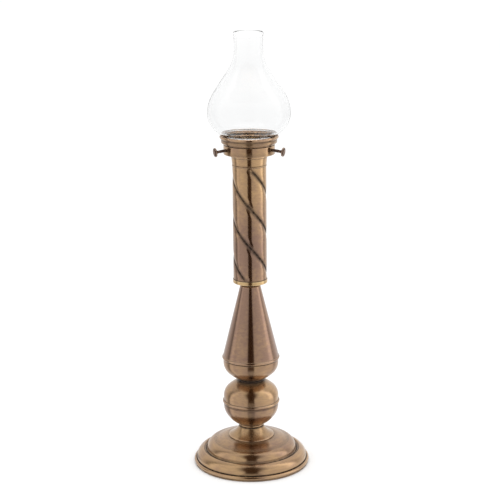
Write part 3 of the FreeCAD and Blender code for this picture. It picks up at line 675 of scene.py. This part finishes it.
def make_gasket_rubber():
    tree = Tree("gasket_rubber")
    grit = tree.noise(tree.place(), 1200.0, 3.0)
    tree.set(
        Base_Color=tree.mix(grit, colour(0.02, 0.02, 0.02), colour(0.05, 0.048, 0.046)),
        Roughness=tree.level(grit, 0.3, 0.7, 0.6, 0.8),
    )
    tree.bump(grit, 0.00005)
    return tree.material


def make_wick_cotton():
    """Round braided cotton, scorched at its tip."""
    tree = Tree("wick_cotton")
    _, _, z = tree.split(tree.place())
    fibres = tree.noise(tree.place(), 2600.0, 4.0)
    body = tree.mix(fibres, colour(0.62, 0.57, 0.47), colour(0.80, 0.76, 0.67))
    # Grime with painted shade darkens the cotton between the braid's strands.
    plaits = tree.mix(tree.stored("grime_and_shade"), body, colour(0.30, 0.25, 0.18))
    scorch = tree.level(tree.math("ADD", z, tree.math("MULTIPLY", fibres, 0.002)), 0.3765, 0.3800)
    tree.set(
        Base_Color=tree.mix(scorch, plaits, colour(0.012, 0.010, 0.009)),
        Roughness=tree.level(fibres, 0.3, 0.7, 0.85, 1.0),
        Sheen_Weight=0.2,
    )
    tree.bump(fibres, 0.0001)
    return tree.material


MATERIALS = {
    "antique_brass": make_antique_brass(),
    "bright_brass": make_bright_brass(),
    "dark_bronze": make_dark_bronze(),
    "clear_glass": make_clear_glass(),
    "cast_iron": make_cast_iron(),
    "green_felt": make_green_felt(),
    "zinc_steel": make_zinc_steel(),
    "cork": make_cork(),
    "cartridge_metal": make_cartridge_metal(),
    "burner_brass": make_burner_brass(),
    "gasket_rubber": make_gasket_rubber(),
    "wick_cotton": make_wick_cotton(),
}


# ---- foot and ball ---------------------------------------------------------------------------

# Radius of the hole for the tie rod, and thicknesses of the spun sheet.
BORE = 5.1
SHEET = 1.0
THIN_SHEET = 0.8


def make_foot():
    outside = [
        (66.7, 0.4),
        (66.7, 2.0, 2.05),
        (64.8, 5.5),
        (64.3, 6.2, 10.8),
        (56.2, 17.0, -3.0),
        (53.2, 15.7, -3.0),
        (51.9, 18.0, 9.6),
        (43.5, 27.0, 60.0),
        (27.0, 32.0),
        (BORE, 32.0),
    ]
    # Grime with painted shade: a contact shadow round the bottom edge, and darkening in the rim
    # crease, the valley and under the collar.
    grime_and_shade_rings = [
        (64.5, 5.9, 0.5, 0.2),
        (54.2, 15.9, 1.5, 0.22),
        (26.6, 32.1, 0.9, 0.4),
        (66.7, 0.4, 0.7, 0.6),
    ]
    piece = turned("foot_shell", wall(outside, SHEET), grime_and_shade_rings)
    give(piece, "stand", "base_shell", "antique_brass")


def make_collar():
    outside = [
        (25.8, 32.0),
        (26.0, 32.1, 0.7),
        (26.0, 33.3, -22.0),
        (14.1, 44.6),
        (14.3, 45.2, 1.1),
        (14.3, 47.0),
        (14.1, 47.2),
        (BORE, 47.2),
    ]
    # Grime with painted shade where the collar meets the foot, at its neck and under the ball.
    grime_and_shade_rings = [(26.0, 32.0, 0.5, 0.7), (14.2, 44.8, 0.4, 0.5), (14.6, 47.2, 0.6, 0.8)]
    piece = turned("trumpet_collar", wall(outside, SHEET), grime_and_shade_rings)
    give(piece, "stand", "foot_collar", "antique_brass")


def make_ball():
    flat, join, seat = dome(31.9, 70.4, 26.7, 20.0, 15.0, -1)
    lower = [
        (BORE, seat[1]),
        (*seat, flat),
        (*join, 20.0),
        (31.9, 70.4),
        (31.9, 72.2),
        (32.2, 72.5),
        (32.2, 73.4, 1.82),
        (32.1, 76.7),
    ]
    # Grime with painted shade: dark lines at the seat, bead and seam, and a wide band of painted
    # shade on the underside above the collar.
    grime_and_shade_rings = [
        (14.6, 47.3, 1.1, 0.7),
        (16.0, 47.3, 6.5, 0.4),
        (32.0, 72.3, 0.4, 0.6),
        (32.1, 76.7, 0.3, 0.5),
    ]
    piece = turned("ball_lower_half", wall(lower, THIN_SHEET), grime_and_shade_rings)
    give(piece, "stand", "ball_lower_shell", "antique_brass")
    flat, join, _ = dome(31.9, 81.4, 21.3, 15.0, 14.6, 1)
    upper = [(31.9, 76.7), (31.9, 81.4, 15.0), (*join, flat), (14.6, 100.0), (BORE, 100.0)]
    # Grime with painted shade: the seam, the neck, and a wide band of painted shade on top under
    # the cone's bowl.
    grime_and_shade_rings = [(32.0, 76.8, 0.4, 0.6), (14.6, 100.2, 1.1, 1.0), (15.2, 99.8, 4.5, 0.35)]
    piece = turned("ball_upper_half", wall(upper, THIN_SHEET), grime_and_shade_rings)
    give(piece, "stand", "ball_upper_shell", "antique_brass")


def make_neck_ring():
    outline = [
        (BORE, 100.0),
        (14.2, 100.0),
        (14.6, 100.4, -1.4),
        (14.6, 102.4),
        (14.2, 102.8),
        (BORE, 102.8),
    ]
    # Painted shade: the ring's face is darkened, as it sits in shadow between the ball and the
    # bowl.
    piece = turned("neck_ring", trace(outline, closed=True), [(14.2, 101.4, 1.2, 1.0)], edge=0.12)
    give(piece, "stand", "neck_spacer", "dark_bronze")


# ---- cone ------------------------------------------------------------------------------------


def make_cone():
    flat, join, seat = dome(31.95, 122.0, 22.46, 16.0, 15.6, -1)
    bowl = [
        (BORE, 102.8),
        (seat[0], 102.8, flat),
        (*join, 16.0),
        (31.95, 122.0),
        (31.95, 126.7),
        (32.5, 126.9, 1.88),
        (32.3, 130.1),
    ]
    # Grime with painted shade: a wide band of painted shade on the bowl's underside above the ball,
    # and dark lines at its neck, bead and seam.
    grime_and_shade_rings = [
        (15.2, 102.8, 1.0, 1.0),
        (16.0, 103.0, 5.5, 0.3),
        (32.0, 126.6, 0.6, 0.7),
        (32.3, 130.1, 0.3, 0.3),
    ]
    piece = turned("cone_bowl_shell", wall(bowl, THIN_SHEET), grime_and_shade_rings)
    give(piece, "stand", "cone_bowl", "antique_brass")
    cone = [(32.3, 130.1), (11.7, 213.7), (11.0, 214.4), (BORE, 214.4)]
    # Grime with painted shade at the seam and under the spindle ring.
    grime_and_shade_rings = [(32.3, 130.2, 0.4, 0.4), (10.2, 214.5, 0.9, 0.8)]
    piece = turned("cone_spun_shell", wall(cone, THIN_SHEET), grime_and_shade_rings)
    give(piece, "stand", "cone_shell", "antique_brass")
    spindle = [
        (BORE, 214.4),
        (9.4, 214.4),
        (9.4, 215.2, -1.6),
        (9.4, 216.8),
        (9.4, 217.6),
        (BORE, 217.6),
    ]
    # Painted shade: the ring's face is darkened, as it sits in shadow under the column's cup.
    piece = turned("spindle_ring", trace(spindle, closed=True), [(8.9, 216.0, 1.4, 1.0)], edge=0.12)
    give(piece, "stand", "column_spindle", "dark_bronze")


# ---- column ----------------------------------------------------------------------------------

COLUMN_LOW = 218.8
COLUMN_TOP = 353.0
COLUMN_RADIUS = 19.2
COLUMN_BORE = 17.6
GROOVES = 3
# Rise of a groove in one turn, and the height at which one crosses the front.
GROOVE_PITCH = 136.0
GROOVE_FRONT = 307.5
# Each groove is a narrow cut in a wide shallow hollow. Half widths are angles about the axis.
GROOVE_DEPTH = 0.73
GROOVE_HALF = math.radians(6.0)
SHOULDER_DEPTH = 0.42
SHOULDER_HALF = math.radians(25)
# Heights over which the grooves deepen at the foot of the tube and die out at its top.
GROOVE_START = (220.0, 227.0)
GROOVE_END = (347.0, 352.8)
# Grime with painted shade on a groove's floor and on the flanks beside it.
FLOOR_GRIME_AND_SHADE = 0.35
FLANK_GRIME_AND_SHADE = 0.52


def ease(value, low, high):
    """Smooth step from 0 at low to 1 at high."""
    share = min(max((value - low) / (high - low), 0.0), 1.0)
    return share * share * (3 - 2 * share)


def make_cup():
    outline = [
        (BORE, 217.6),
        (18.85, 217.6, 0.9),
        (19.75, 218.5),
        (19.75, 222.0),
        (19.3, 222.0),
        (19.3, 218.8),
        (BORE, 218.8),
    ]
    # Grime with painted shade where the cup sits on the spindle and where the tube stands in it.
    grime_and_shade_rings = [(9.6, 217.6, 1.4, 0.9), (19.3, 222.0, 0.4, 0.8)]
    piece = turned("column_foot_cup", trace(outline, closed=True), grime_and_shade_rings, edge=0.14)
    give(piece, "stand", "column_cup", "bright_brass")


def groove_spokes():
    """Angles round one turn of the column, dense in the grooves and on their shoulders."""
    half = [0.0, 0.6, 1.2, 1.8, 2.4, 3.0, 3.6, 4.1, 4.6, 5.2, 6.0, 7.5, 9.5, 12, 15, 18, 21, 24, 27]
    half += [30 + 3.0 * number for number in range(10)]
    third = [-angle for angle in half[:0:-1]] + half
    spokes = []
    for number in range(GROOVES):
        spokes.extend(math.radians(360 / GROOVES * number + angle) for angle in third)
    return spokes


def carve_groove(spoke, point):
    """Cut, and grime with painted shade, of the grooves, which die out at both ends of the tube."""
    if point.x < COLUMN_RADIUS - 0.5:
        return 0.0, 0.0
    step = TURN / GROOVES
    away = abs((spoke + step / 2) % step - step / 2)
    ends = ease(point.y, *GROOVE_START) * (1 - ease(point.y, *GROOVE_END))
    shoulder = SHOULDER_DEPTH * (1 - ease(away, GROOVE_HALF * 0.8, SHOULDER_HALF))
    groove = GROOVE_DEPTH * (1 - ease(away, 0.0, GROOVE_HALF))
    core = 1 - ease(away, GROOVE_HALF * 0.5, GROOVE_HALF * 1.1)
    flank = 1 - ease(away, GROOVE_HALF * 0.9, GROOVE_HALF * 2.7)
    return (shoulder + groove) * ends, (FLOOR_GRIME_AND_SHADE * core + FLANK_GRIME_AND_SHADE * flank) * ends


def make_column():
    def twist(height):
        return FRONT - TURN * (height - GROOVE_FRONT) / GROOVE_PITCH

    rows = 150
    tall = COLUMN_TOP - COLUMN_LOW
    heights = [COLUMN_LOW + tall * number / rows for number in range(rows + 1)]
    outside = [Vector((COLUMN_RADIUS, height)) for height in heights]
    inside = [Vector((COLUMN_BORE, height)) for height in heights[::-1]]
    # Grime with painted shade where the tube stands in its cup and under its top neck.
    grime_and_shade_rings = [(COLUMN_RADIUS, 222.1, 0.6, 0.9), (COLUMN_RADIUS, COLUMN_TOP, 0.35, 0.7)]
    piece = turned(
        "twisted_column",
        outside + inside,
        grime_and_shade_rings,
        edge=0.1,
        turns=groove_spokes(),
        twist=twist,
        carve=carve_groove,
    )
    give(piece, "stand", "column_tube", "antique_brass")
    outline = [
        (COLUMN_BORE, COLUMN_TOP),
        (19.4, COLUMN_TOP),
        (19.6, 353.1, 0.6),
        (19.6, 353.8),
        (19.35, 354.1),
        (20.3, 363.3),
        (COLUMN_BORE, 363.3),
    ]
    # Grime with painted shade at the tube's top and under the gallery.
    grime_and_shade_rings = [(19.4, COLUMN_TOP, 0.3, 0.6), (20.3, 363.3, 0.5, 0.8)]
    piece = turned("column_top_neck", trace(outline, closed=True), grime_and_shade_rings, edge=0.1)
    give(piece, "stand", "column_neck", "antique_brass")


# ---- gallery ---------------------------------------------------------------------------------

# Thumbscrews: their azimuths in degrees, height and radius of their tips, and lean.
SCREW_AZIMUTHS = {"left": 203.0, "right": -23.0, "rear": 90.0}
SCREW_Z = 372.0
SCREW_TIP = 28.15
SCREW_LEAN = math.radians(6.2)
SCREW_HOLE_RADIUS = 1.8
# Air holes in the gallery's floor.
AIR_HOLES = 16
AIR_HOLE_RADIUS = 1.2
AIR_RING_RADIUS = 22.5
GALLERY_FLOOR_Z = 366.9
GALLERY_SHEET = 0.9


def along_screw(azimuth):
    """Matrix at a thumbscrew's tip, with Z along its axis. The screws lean down outwards."""
    turn = math.radians(azimuth)
    lay = Euler((0, math.pi / 2 + SCREW_LEAN, turn)).to_matrix().to_4x4()
    tip = Vector((SCREW_TIP * math.cos(turn), SCREW_TIP * math.sin(turn), SCREW_Z)) * MM
    return Matrix.Translation(tip) @ lay


def rod_cutter(radius, length, matrix, sides=32):
    """A plain rod that other meshes are drilled with."""
    work = bmesh.new()
    bmesh.ops.create_cone(
        work,
        cap_ends=True,
        segments=sides,
        radius1=radius * MM,
        radius2=radius * MM,
        depth=length * MM,
        matrix=matrix,
    )
    return mesh_from(work, "drill")


def drill(piece, cutters):
    """Cut rods out of a piece and keep only the result."""
    work = bmesh.new()
    for cutter in cutters:
        work.from_mesh(cutter)
        bpy.data.meshes.remove(cutter)
    mesh = mesh_from(work, "drills")
    tool = new_piece("drills", mesh)
    cut = piece.modifiers.new("holes", "BOOLEAN")
    cut.operation = "DIFFERENCE"
    cut.solver = "MANIFOLD"
    cut.object = tool
    bpy.context.view_layer.update()
    graph = bpy.context.evaluated_depsgraph_get()
    drilled = bpy.data.meshes.new_from_object(piece.evaluated_get(graph))
    piece.modifiers.clear()
    old = piece.data
    piece.data = drilled
    bpy.data.meshes.remove(old)
    drilled.name = piece.name
    if not drilled.polygons:
        raise RuntimeError(piece.name + ": nothing is left after drilling")
    bpy.data.objects.remove(tool)
    bpy.data.meshes.remove(mesh)
    shade(drilled)


def make_gallery():
    outside = [
        (17.2, 363.3),
        (20.4, 363.3, 0.6),
        (21.0, 363.9),
        (21.0, 366.4),
        (28.05, 366.4, 0.9),
        (28.95, 367.3),
        (28.95, 376.3),
        (28.5, 377.0, -0.45),
        (29.1, 377.6, -4.0),
        (30.9, 379.1, 1.6),
        (31.45, 380.4),
        (31.45, 382.5, -2.4),
        (32.7, 384.5, 1.1),
        (33.1, 385.2, 1.2),
        (32.7, 386.8),
        (32.4, 387.1),
    ]
    # Grime with painted shade at the gallery's creases, and wide painted shade inside it at the
    # floor and under the lip.
    grime_and_shade_rings = [
        (20.4, 363.3, 0.5, 0.7),
        (21.0, 366.3, 0.7, 0.9),
        (28.5, 377.2, 0.6, 0.8),
        (31.45, 382.7, 0.6, 0.7),
        (27.8, 368.0, 2.4, 0.3),
        (30.2, 380.4, 2.6, 0.35),
    ]
    piece = turned("gallery_spun", wall(outside, GALLERY_SHEET), grime_and_shade_rings, edge=0.15)
    cutters = []
    for number in range(AIR_HOLES):
        turn = TURN * number / AIR_HOLES
        across = Vector((math.cos(turn), math.sin(turn), 0.0)) * AIR_RING_RADIUS
        place = (across + Vector((0.0, 0.0, GALLERY_FLOOR_Z))) * MM
        cutters.append(rod_cutter(AIR_HOLE_RADIUS, 6.0, Matrix.Translation(place)))
    for azimuth in SCREW_AZIMUTHS.values():
        cutters.append(rod_cutter(SCREW_HOLE_RADIUS, 5.0, along_screw(azimuth)))
    drill(piece, cutters)
    give(piece, "stand", "gallery", "antique_brass")


def make_thumbscrews():
    """Turned thumbscrews with a cut thread and a round dished head."""
    outline = [
        (0.0, 0.0),
        (1.25, 0.0),
        (1.75, 0.5),
        (1.75, 6.6),
        (1.6, 6.9),
        (1.6, 9.8, -6.0),
        (2.9, 12.1),
        (4.75, 12.1, 0.35),
        (5.1, 12.45),
        (5.1, 13.25, 0.35),
        (4.75, 13.6),
        (3.6, 13.4, -8.0),
        (3.0, 13.55),
        (2.9, 14.0, 0.3),
        (2.6, 14.2),
        (0.0, 14.2),
    ]
    pitch, thread_depth, thread_from, thread_to = 0.7, 0.22, 0.3, 6.5
    core_radius, crest_radius, ring_step = 1.2, 1.65, 0.09

    def thread(spoke, point):
        if point.x < core_radius or not thread_from <= point.y <= thread_to:
            return 0.0, 0.0
        phase = (point.y / pitch - spoke / TURN) % 1.0
        depth = abs(phase - 0.5) * 2
        # The thread's valleys get grime with painted shade.
        return thread_depth * depth, depth * 0.9

    # The shank gets rings close enough together to carry its thread.
    points = []
    for point in trace(outline, closed=True):
        last = points[-1] if points else point
        on_shank = min(point.x, last.x) > crest_radius and last.y < point.y < thread_to + 0.2
        if on_shank:
            steps = math.ceil((point.y - last.y) / ring_step)
            points.extend(last.lerp(point, number / steps) for number in range(1, steps))
        points.append(point)
    spokes = 48
    for side, azimuth in SCREW_AZIMUTHS.items():
        piece = turned(
            "screw_" + side + "_turned",
            points,
            # Rings of grime with painted shade at the neck of the shank and under the head.
            [(1.6, 6.8, 0.3, 0.8), (3.0, 12.0, 0.6, 0.9)],
            edge=0.08,
            turns=[TURN * number / spokes for number in range(spokes)],
            carve=thread,
        )
        piece.matrix_world = along_screw(azimuth)
        give(piece, "screw_" + side, "thumbscrew_" + side, "dark_bronze")


# ---- chimney ---------------------------------------------------------------------------------


def make_chimney():
    seat = 367.4
    glass = 1.7
    neck_radius, neck_top, throat_radius, throat_bend = 25.5, 383.6, 28.6, 3.4
    bulb_radius, bulb_z = 46.6, 412.0
    low_bend, high_bend, funnel = 25.95, 42.6, 40.0
    flue_radius, flue_low, flue_high = 16.15, 482.6, 494.5
    low_reach = throat_radius - (bulb_radius - low_bend)
    high_centre = bulb_radius - high_bend
    # The bulb's arc and the funnel's arc both end where they lie along the straight taper.
    taper = math.radians(33.8)
    cosine, sine = math.cos(taper), math.sin(taper)

    def throat_z(bend):
        return bulb_z - math.sqrt(bend**2 - low_reach**2)

    outline = [
        (neck_radius - glass, seat),
        (26.55, seat, 0.6),
        (27.15, seat + 0.6),
        (27.15, seat + 1.8, 1.4),
        (26.2, seat + 3.0),
        (neck_radius, seat + 3.4),
        (neck_radius, neck_top, -throat_bend),
        (throat_radius, throat_z(low_bend), low_bend),
        (bulb_radius, bulb_z, high_bend),
        (high_centre + high_bend * cosine, bulb_z + high_bend * sine),
        (flue_radius + funnel * (1 - cosine), flue_low - funnel * sine, -funnel),
        (flue_radius, flue_low),
        (flue_radius, flue_high, -12.0),
        (16.6, 499.0, 3.0),
        (16.6, 501.2, 0.9),
        (15.7, 502.0, 0.9),
        (14.7, 501.2),
        (flue_radius - glass, flue_high - 1.0),
        (flue_radius - glass, flue_low, funnel + glass),
        (flue_radius + funnel - (funnel + glass) * cosine, flue_low - (funnel + glass) * sine),
        (
            high_centre + (high_bend - glass) * cosine,
            bulb_z + (high_bend - glass) * sine,
            glass - high_bend,
        ),
        (bulb_radius - glass, bulb_z, glass - low_bend),
        (throat_radius, throat_z(low_bend - glass), throat_bend + glass),
        (neck_radius - glass, neck_top + glass / 2),
    ]
    piece = turned("blown_chimney", trace(outline, closed=True), edge=0.3)
    give(piece, "chimney", "chimney_glass", "clear_glass")


# ---- cartridge and burner --------------------------------------------------------------------


def make_cartridge():
    outside = [
        (0.0, 230.0),
        (14.0, 230.0, 2.0),
        (16.0, 232.0),
        (16.0, 233.2),
        (15.7, 233.6),
        (15.7, 347.0),
        (16.0, 347.4),
        (16.0, 348.5, 2.0),
        (14.0, 350.5),
        (10.8, 350.5),
        (10.8, 357.0),
    ]
    # Grime with painted shade at the cartridge's shoulders and at its neck.
    grime_and_shade_rings = [(15.8, 233.4, 0.5, 0.7), (15.8, 347.2, 0.5, 0.7), (10.9, 350.6, 0.6, 0.9)]
    piece = turned("cartridge_tank", wall(outside, THIN_SHEET), grime_and_shade_rings, edge=0.15)
    give(piece, "cartridge", "oil_cartridge", "cartridge_metal")


def make_burner():
    flutes, flute_depth, flute_share = 24, 0.4, 0.42
    flute_from, flute_to = 351.6, 358.3

    def flute(spoke, point):
        if point.x < 12.0 or not flute_from < point.y < flute_to:
            return 0.0, 0.0
        away = abs((spoke * flutes / TURN) % 1.0 - 0.5) * 2
        depth = max(1 - away / flute_share, 0.0) ** 0.5
        # The flutes get grime with painted shade, deepest in their floors.
        return flute_depth * depth, depth * 0.6

    cap = [
        (10.86, 351.4),
        (12.6, 351.4),
        (12.7, 351.5),
        (12.7, 358.7, 0.7),
        (12.0, 359.4),
        (7.2, 359.4),
        (3.96, 359.4),
        (3.96, 357.76),
        (10.86, 357.76),
    ]
    # Grime with painted shade where the wick tube stands on the cap.
    grime_and_shade_rings = [(6.6, 359.4, 0.5, 0.9)]
    spokes = flutes * 12
    piece = turned(
        "fluted_cap",
        trace(cap, closed=True),
        grime_and_shade_rings,
        edge=0.1,
        turns=[TURN * number / spokes for number in range(spokes)],
        carve=flute,
    )
    give(piece, "burner", "burner_cap", "burner_brass")
    tube = [
        (3.0, 352.0),
        (3.9, 352.0),
        (3.9, 359.4),
        (6.4, 359.4),
        (6.5, 359.6),
        (6.5, 360.3, 0.3),
        (6.2, 360.6),
        (4.3, 360.6, -0.4),
        (3.9, 361.0),
        (3.9, 371.7, 0.3),
        (3.6, 372.0),
        (3.0, 372.0),
    ]
    # Grime with painted shade under the wick tube's collar.
    grime_and_shade_rings = [(4.0, 360.7, 0.4, 0.9)]
    piece = turned("wick_holder", trace(tube, closed=True), grime_and_shade_rings, edge=0.1)
    give(piece, "burner", "wick_tube", "burner_brass")


def make_wick():
    plaits, lay = 8, 9.0
    strand_depth = 0.35
    foot_z, tip_z, radius = 236.0, 378.6, 2.9

    def braid(spoke, point):
        if point.x < 2.0:
            return 0.0, 0.0
        one = math.cos(plaits / 2 * spoke + TURN * point.y / lay)
        other = math.cos(plaits / 2 * spoke - TURN * point.y / lay)
        depth = 1 - max(abs(one), abs(other))
        # The hollows between the strands get grime with painted shade.
        return strand_depth * depth, depth * 1.6

    rows, spokes = 300, 64
    step = (tip_z - foot_z) / rows
    side = [Vector((radius, foot_z + step * number)) for number in range(rows + 1)]
    tip = trace([(radius, tip_z, 0.9), (2.0, 379.5), (0.0, 379.5)], closed=False)[1:]
    outline = [Vector((0.0, foot_z)), Vector((1.5, foot_z))] + side + tip
    turns = [TURN * number / spokes for number in range(spokes)]
    piece = turned("braided_wick", outline, edge=0.05, turns=turns, carve=braid)
    give(piece, "wick", "wick", "wick_cotton")


def finish_hidden_parts():
    """The CAD nodes that stay get a worked material on their own meshes."""
    kept = {
        "felt_pad": "green_felt",
        "base_weight": "cast_iron",
        "cartridge_seat": "cork",
        "tie_rod": "zinc_steel",
        "base_washer": "zinc_steel",
        "base_nut": "zinc_steel",
        "column_washer": "zinc_steel",
        "column_nut": "zinc_steel",
        "cap_gasket": "gasket_rubber",
    }
    for node, slot in kept.items():
        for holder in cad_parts[node].material_slots:
            holder.material = MATERIALS[slot]


# ---- studio ----------------------------------------------------------------------------------


def only_reflected(card):
    card.visible_camera = False
    card.visible_diffuse = False
    card.visible_transmission = False
    card.visible_volume_scatter = False
    card.visible_shadow = False


# Brightness of the studio tent by azimuth, in degrees from the front towards the lamp's right.
# Two tall softboxes leave a dark gap in front, end in a bright edge and have a dark frame.
TENT_LEVELS = (
    (-180, 0.95),
    (-125, 0.95),
    (-112, 0.70),
    (-103, 0.35),
    (-98, 0.55),
    (-92, 1.15),
    (-82, 1.20),
    (-72, 0.95),
    (-60, 1.00),
    (-24, 0.86),
    (-15.5, 0.84),
    (-13.5, 0.60),
    (-11, 0.08),
    (11, 0.08),
    (13.5, 0.60),
    (15.5, 0.84),
    (24, 0.86),
    (60, 1.06),
    (76, 1.20),
    (86, 1.80),
    (97, 1.90),
    (105, 0.75),
    (112, 0.85),
    (130, 1.15),
    (180, 0.95),
)

# The floor in front of the lamp brightens towards its foot, by distance from the axis in metres.
FLOOR_LEVELS = ((0.07, 0.42), (0.12, 0.60), (0.22, 0.42), (0.34, 0.05))

# Rings of the tent from the floor up, as (radius, height) in millimetres.
TENT_RINGS = (
    (70, 0.5),
    (300, 1),
    (700, 3),
    (1500, 3),
    (1500, 700),
    (1500, 1500),
    (1100, 2300),
    (500, 2700),
    (0.01, 2800),
)
TENT_SPOKES = 96
# Levels are stored as shares of this one, because a ramp's greys end at 1.
TENT_FULL = 2.0


def make_tent_glow():
    """Light of the tent: two softboxes, the dark gap between them and the floor's own glow."""
    tree = Tree("tent")
    x, y, z = tree.split(tree.place())
    azimuth = tree.math("ARCTAN2", x, tree.math("MULTIPLY", y, -1.0))
    stops = [(0.5 + degrees / 360, level / TENT_FULL) for degrees, level in TENT_LEVELS]
    round_lamp = tree.ramp(tree.math("ADD", tree.math("DIVIDE", azimuth, TURN), 0.5), stops)
    away = tree.distance(x, y)
    # The gap widens and its edges soften with the angle above the floor.
    climb = tree.math("ARCTAN2", z, away)
    dark_to = tree.level(climb, 0.4, 0.96, 11.0 / 360, 19.0 / 360)
    light_from = tree.level(climb, 0.2, 0.96, 11.1 / 360, 95.0 / 360)
    from_front = tree.math("DIVIDE", tree.math("ABSOLUTE", azimuth), TURN)
    gap = tree.level(from_front, dark_to, light_from, 0.04, 1.0)
    # Overhead, near the axis, the tent is dimmer than its sides.
    lid = tree.math("MINIMUM", gap, tree.level(away, 0.4, 1.1, 0.56, 1.0))
    floor_glow = tree.ramp(away, [(at, level / TENT_FULL) for at, level in FLOOR_LEVELS])
    glow = tree.math("MAXIMUM", tree.math("MINIMUM", round_lamp, lid), floor_glow)
    tint = tree.mix(tree.level(glow, 0.0, 0.2), colour(1.0, 0.5, 0.2), colour(1.0, 1.0, 1.0))
    tree.set(
        Base_Color=colour(0, 0, 0),
        Specular_IOR_Level=0.0,
        Emission_Color=tint,
        Emission_Strength=tree.math("MULTIPLY", glow, TENT_FULL),
    )
    tree.material.cycles.emission_sampling = "NONE"
    return tree.material


def make_tent():
    """A light tent round the lamp that shows only in reflections."""
    work = bmesh.new()
    previous = None
    for radius, height in TENT_RINGS:
        ring = []
        for number in range(TENT_SPOKES):
            turn = TURN * number / TENT_SPOKES
            place = Vector((radius * math.cos(turn), radius * math.sin(turn), height))
            ring.append(work.verts.new(place * MM))
        if previous:
            for number in range(TENT_SPOKES):
                after = (number + 1) % TENT_SPOKES
                work.faces.new((previous[number], previous[after], ring[after], ring[number]))
        previous = ring
    mesh = mesh_from(work, "studio_tent")
    mesh.materials.append(make_tent_glow())
    tent = new_piece("studio_tent", mesh)
    only_reflected(tent)


def make_world():
    """Even white light from all round."""
    world = bpy.data.worlds.new("studio")
    world.use_nodes = True
    sky = world.node_tree.nodes["Background"]
    sky.inputs["Color"].default_value = colour(1.0, 1.0, 1.0)
    sky.inputs["Strength"].default_value = 1.1
    bpy.context.scene.world = world


def make_floor():
    """A plain sheet of white paper, wider than the view."""
    work = bmesh.new()
    bmesh.ops.create_grid(work, x_segments=24, y_segments=24, size=12.0)
    mesh = mesh_from(work, "floor")
    paper = Tree("floor_paper")
    mottle = paper.noise(paper.place(), 3.0, 2.0)
    paper.set(
        Base_Color=paper.mix(mottle, colour(0.93, 0.93, 0.93), colour(0.95, 0.95, 0.95)),
        Roughness=0.9,
        Specular_IOR_Level=0.0,
    )
    mesh.materials.append(paper.material)
    floor = new_piece("floor", mesh)


def make_top_light():
    top = bpy.data.lights.new("top_softbox", "AREA")
    top.shape = "SQUARE"
    top.size = 1.6
    top.energy = 9.0
    lamp = bpy.data.objects.new("top_softbox", top)
    lamp.location = (0.0, 0.0, 2.2)
    lamp.visible_glossy = False
    bpy.context.scene.collection.objects.link(lamp)


# The camera stands in front of the lamp and above it, and looks down on it by the pitch.
CAMERA_PLACE = (0.0, -1.54665, 0.64080)
CAMERA_PITCH = math.radians(14.0)
CAMERA_ROLL = math.radians(-0.46)


def make_camera():
    lens = bpy.data.cameras.new("camera")
    lens.sensor_width = 36.0
    lens.lens = 100.8
    lens.clip_start = 0.05
    lens.clip_end = 60.0
    camera = bpy.data.objects.new("camera", lens)
    camera.matrix_world = (
        Matrix.Translation(CAMERA_PLACE)
        @ Matrix.Rotation(math.pi / 2 - CAMERA_PITCH, 4, "X")
        @ Matrix.Rotation(CAMERA_ROLL, 4, "Z")
    )
    bpy.context.scene.collection.objects.link(camera)
    bpy.context.scene.camera = camera
    bpy.context.scene.view_settings.view_transform = "Standard"


make_camera()
make_world()
make_floor()
make_tent()
make_top_light()
make_foot()
make_collar()
make_ball()
make_neck_ring()
make_cone()
make_cup()
make_column()
make_gallery()
make_thumbscrews()
make_chimney()
make_cartridge()
make_burner()
make_wick()
finish_hidden_parts()
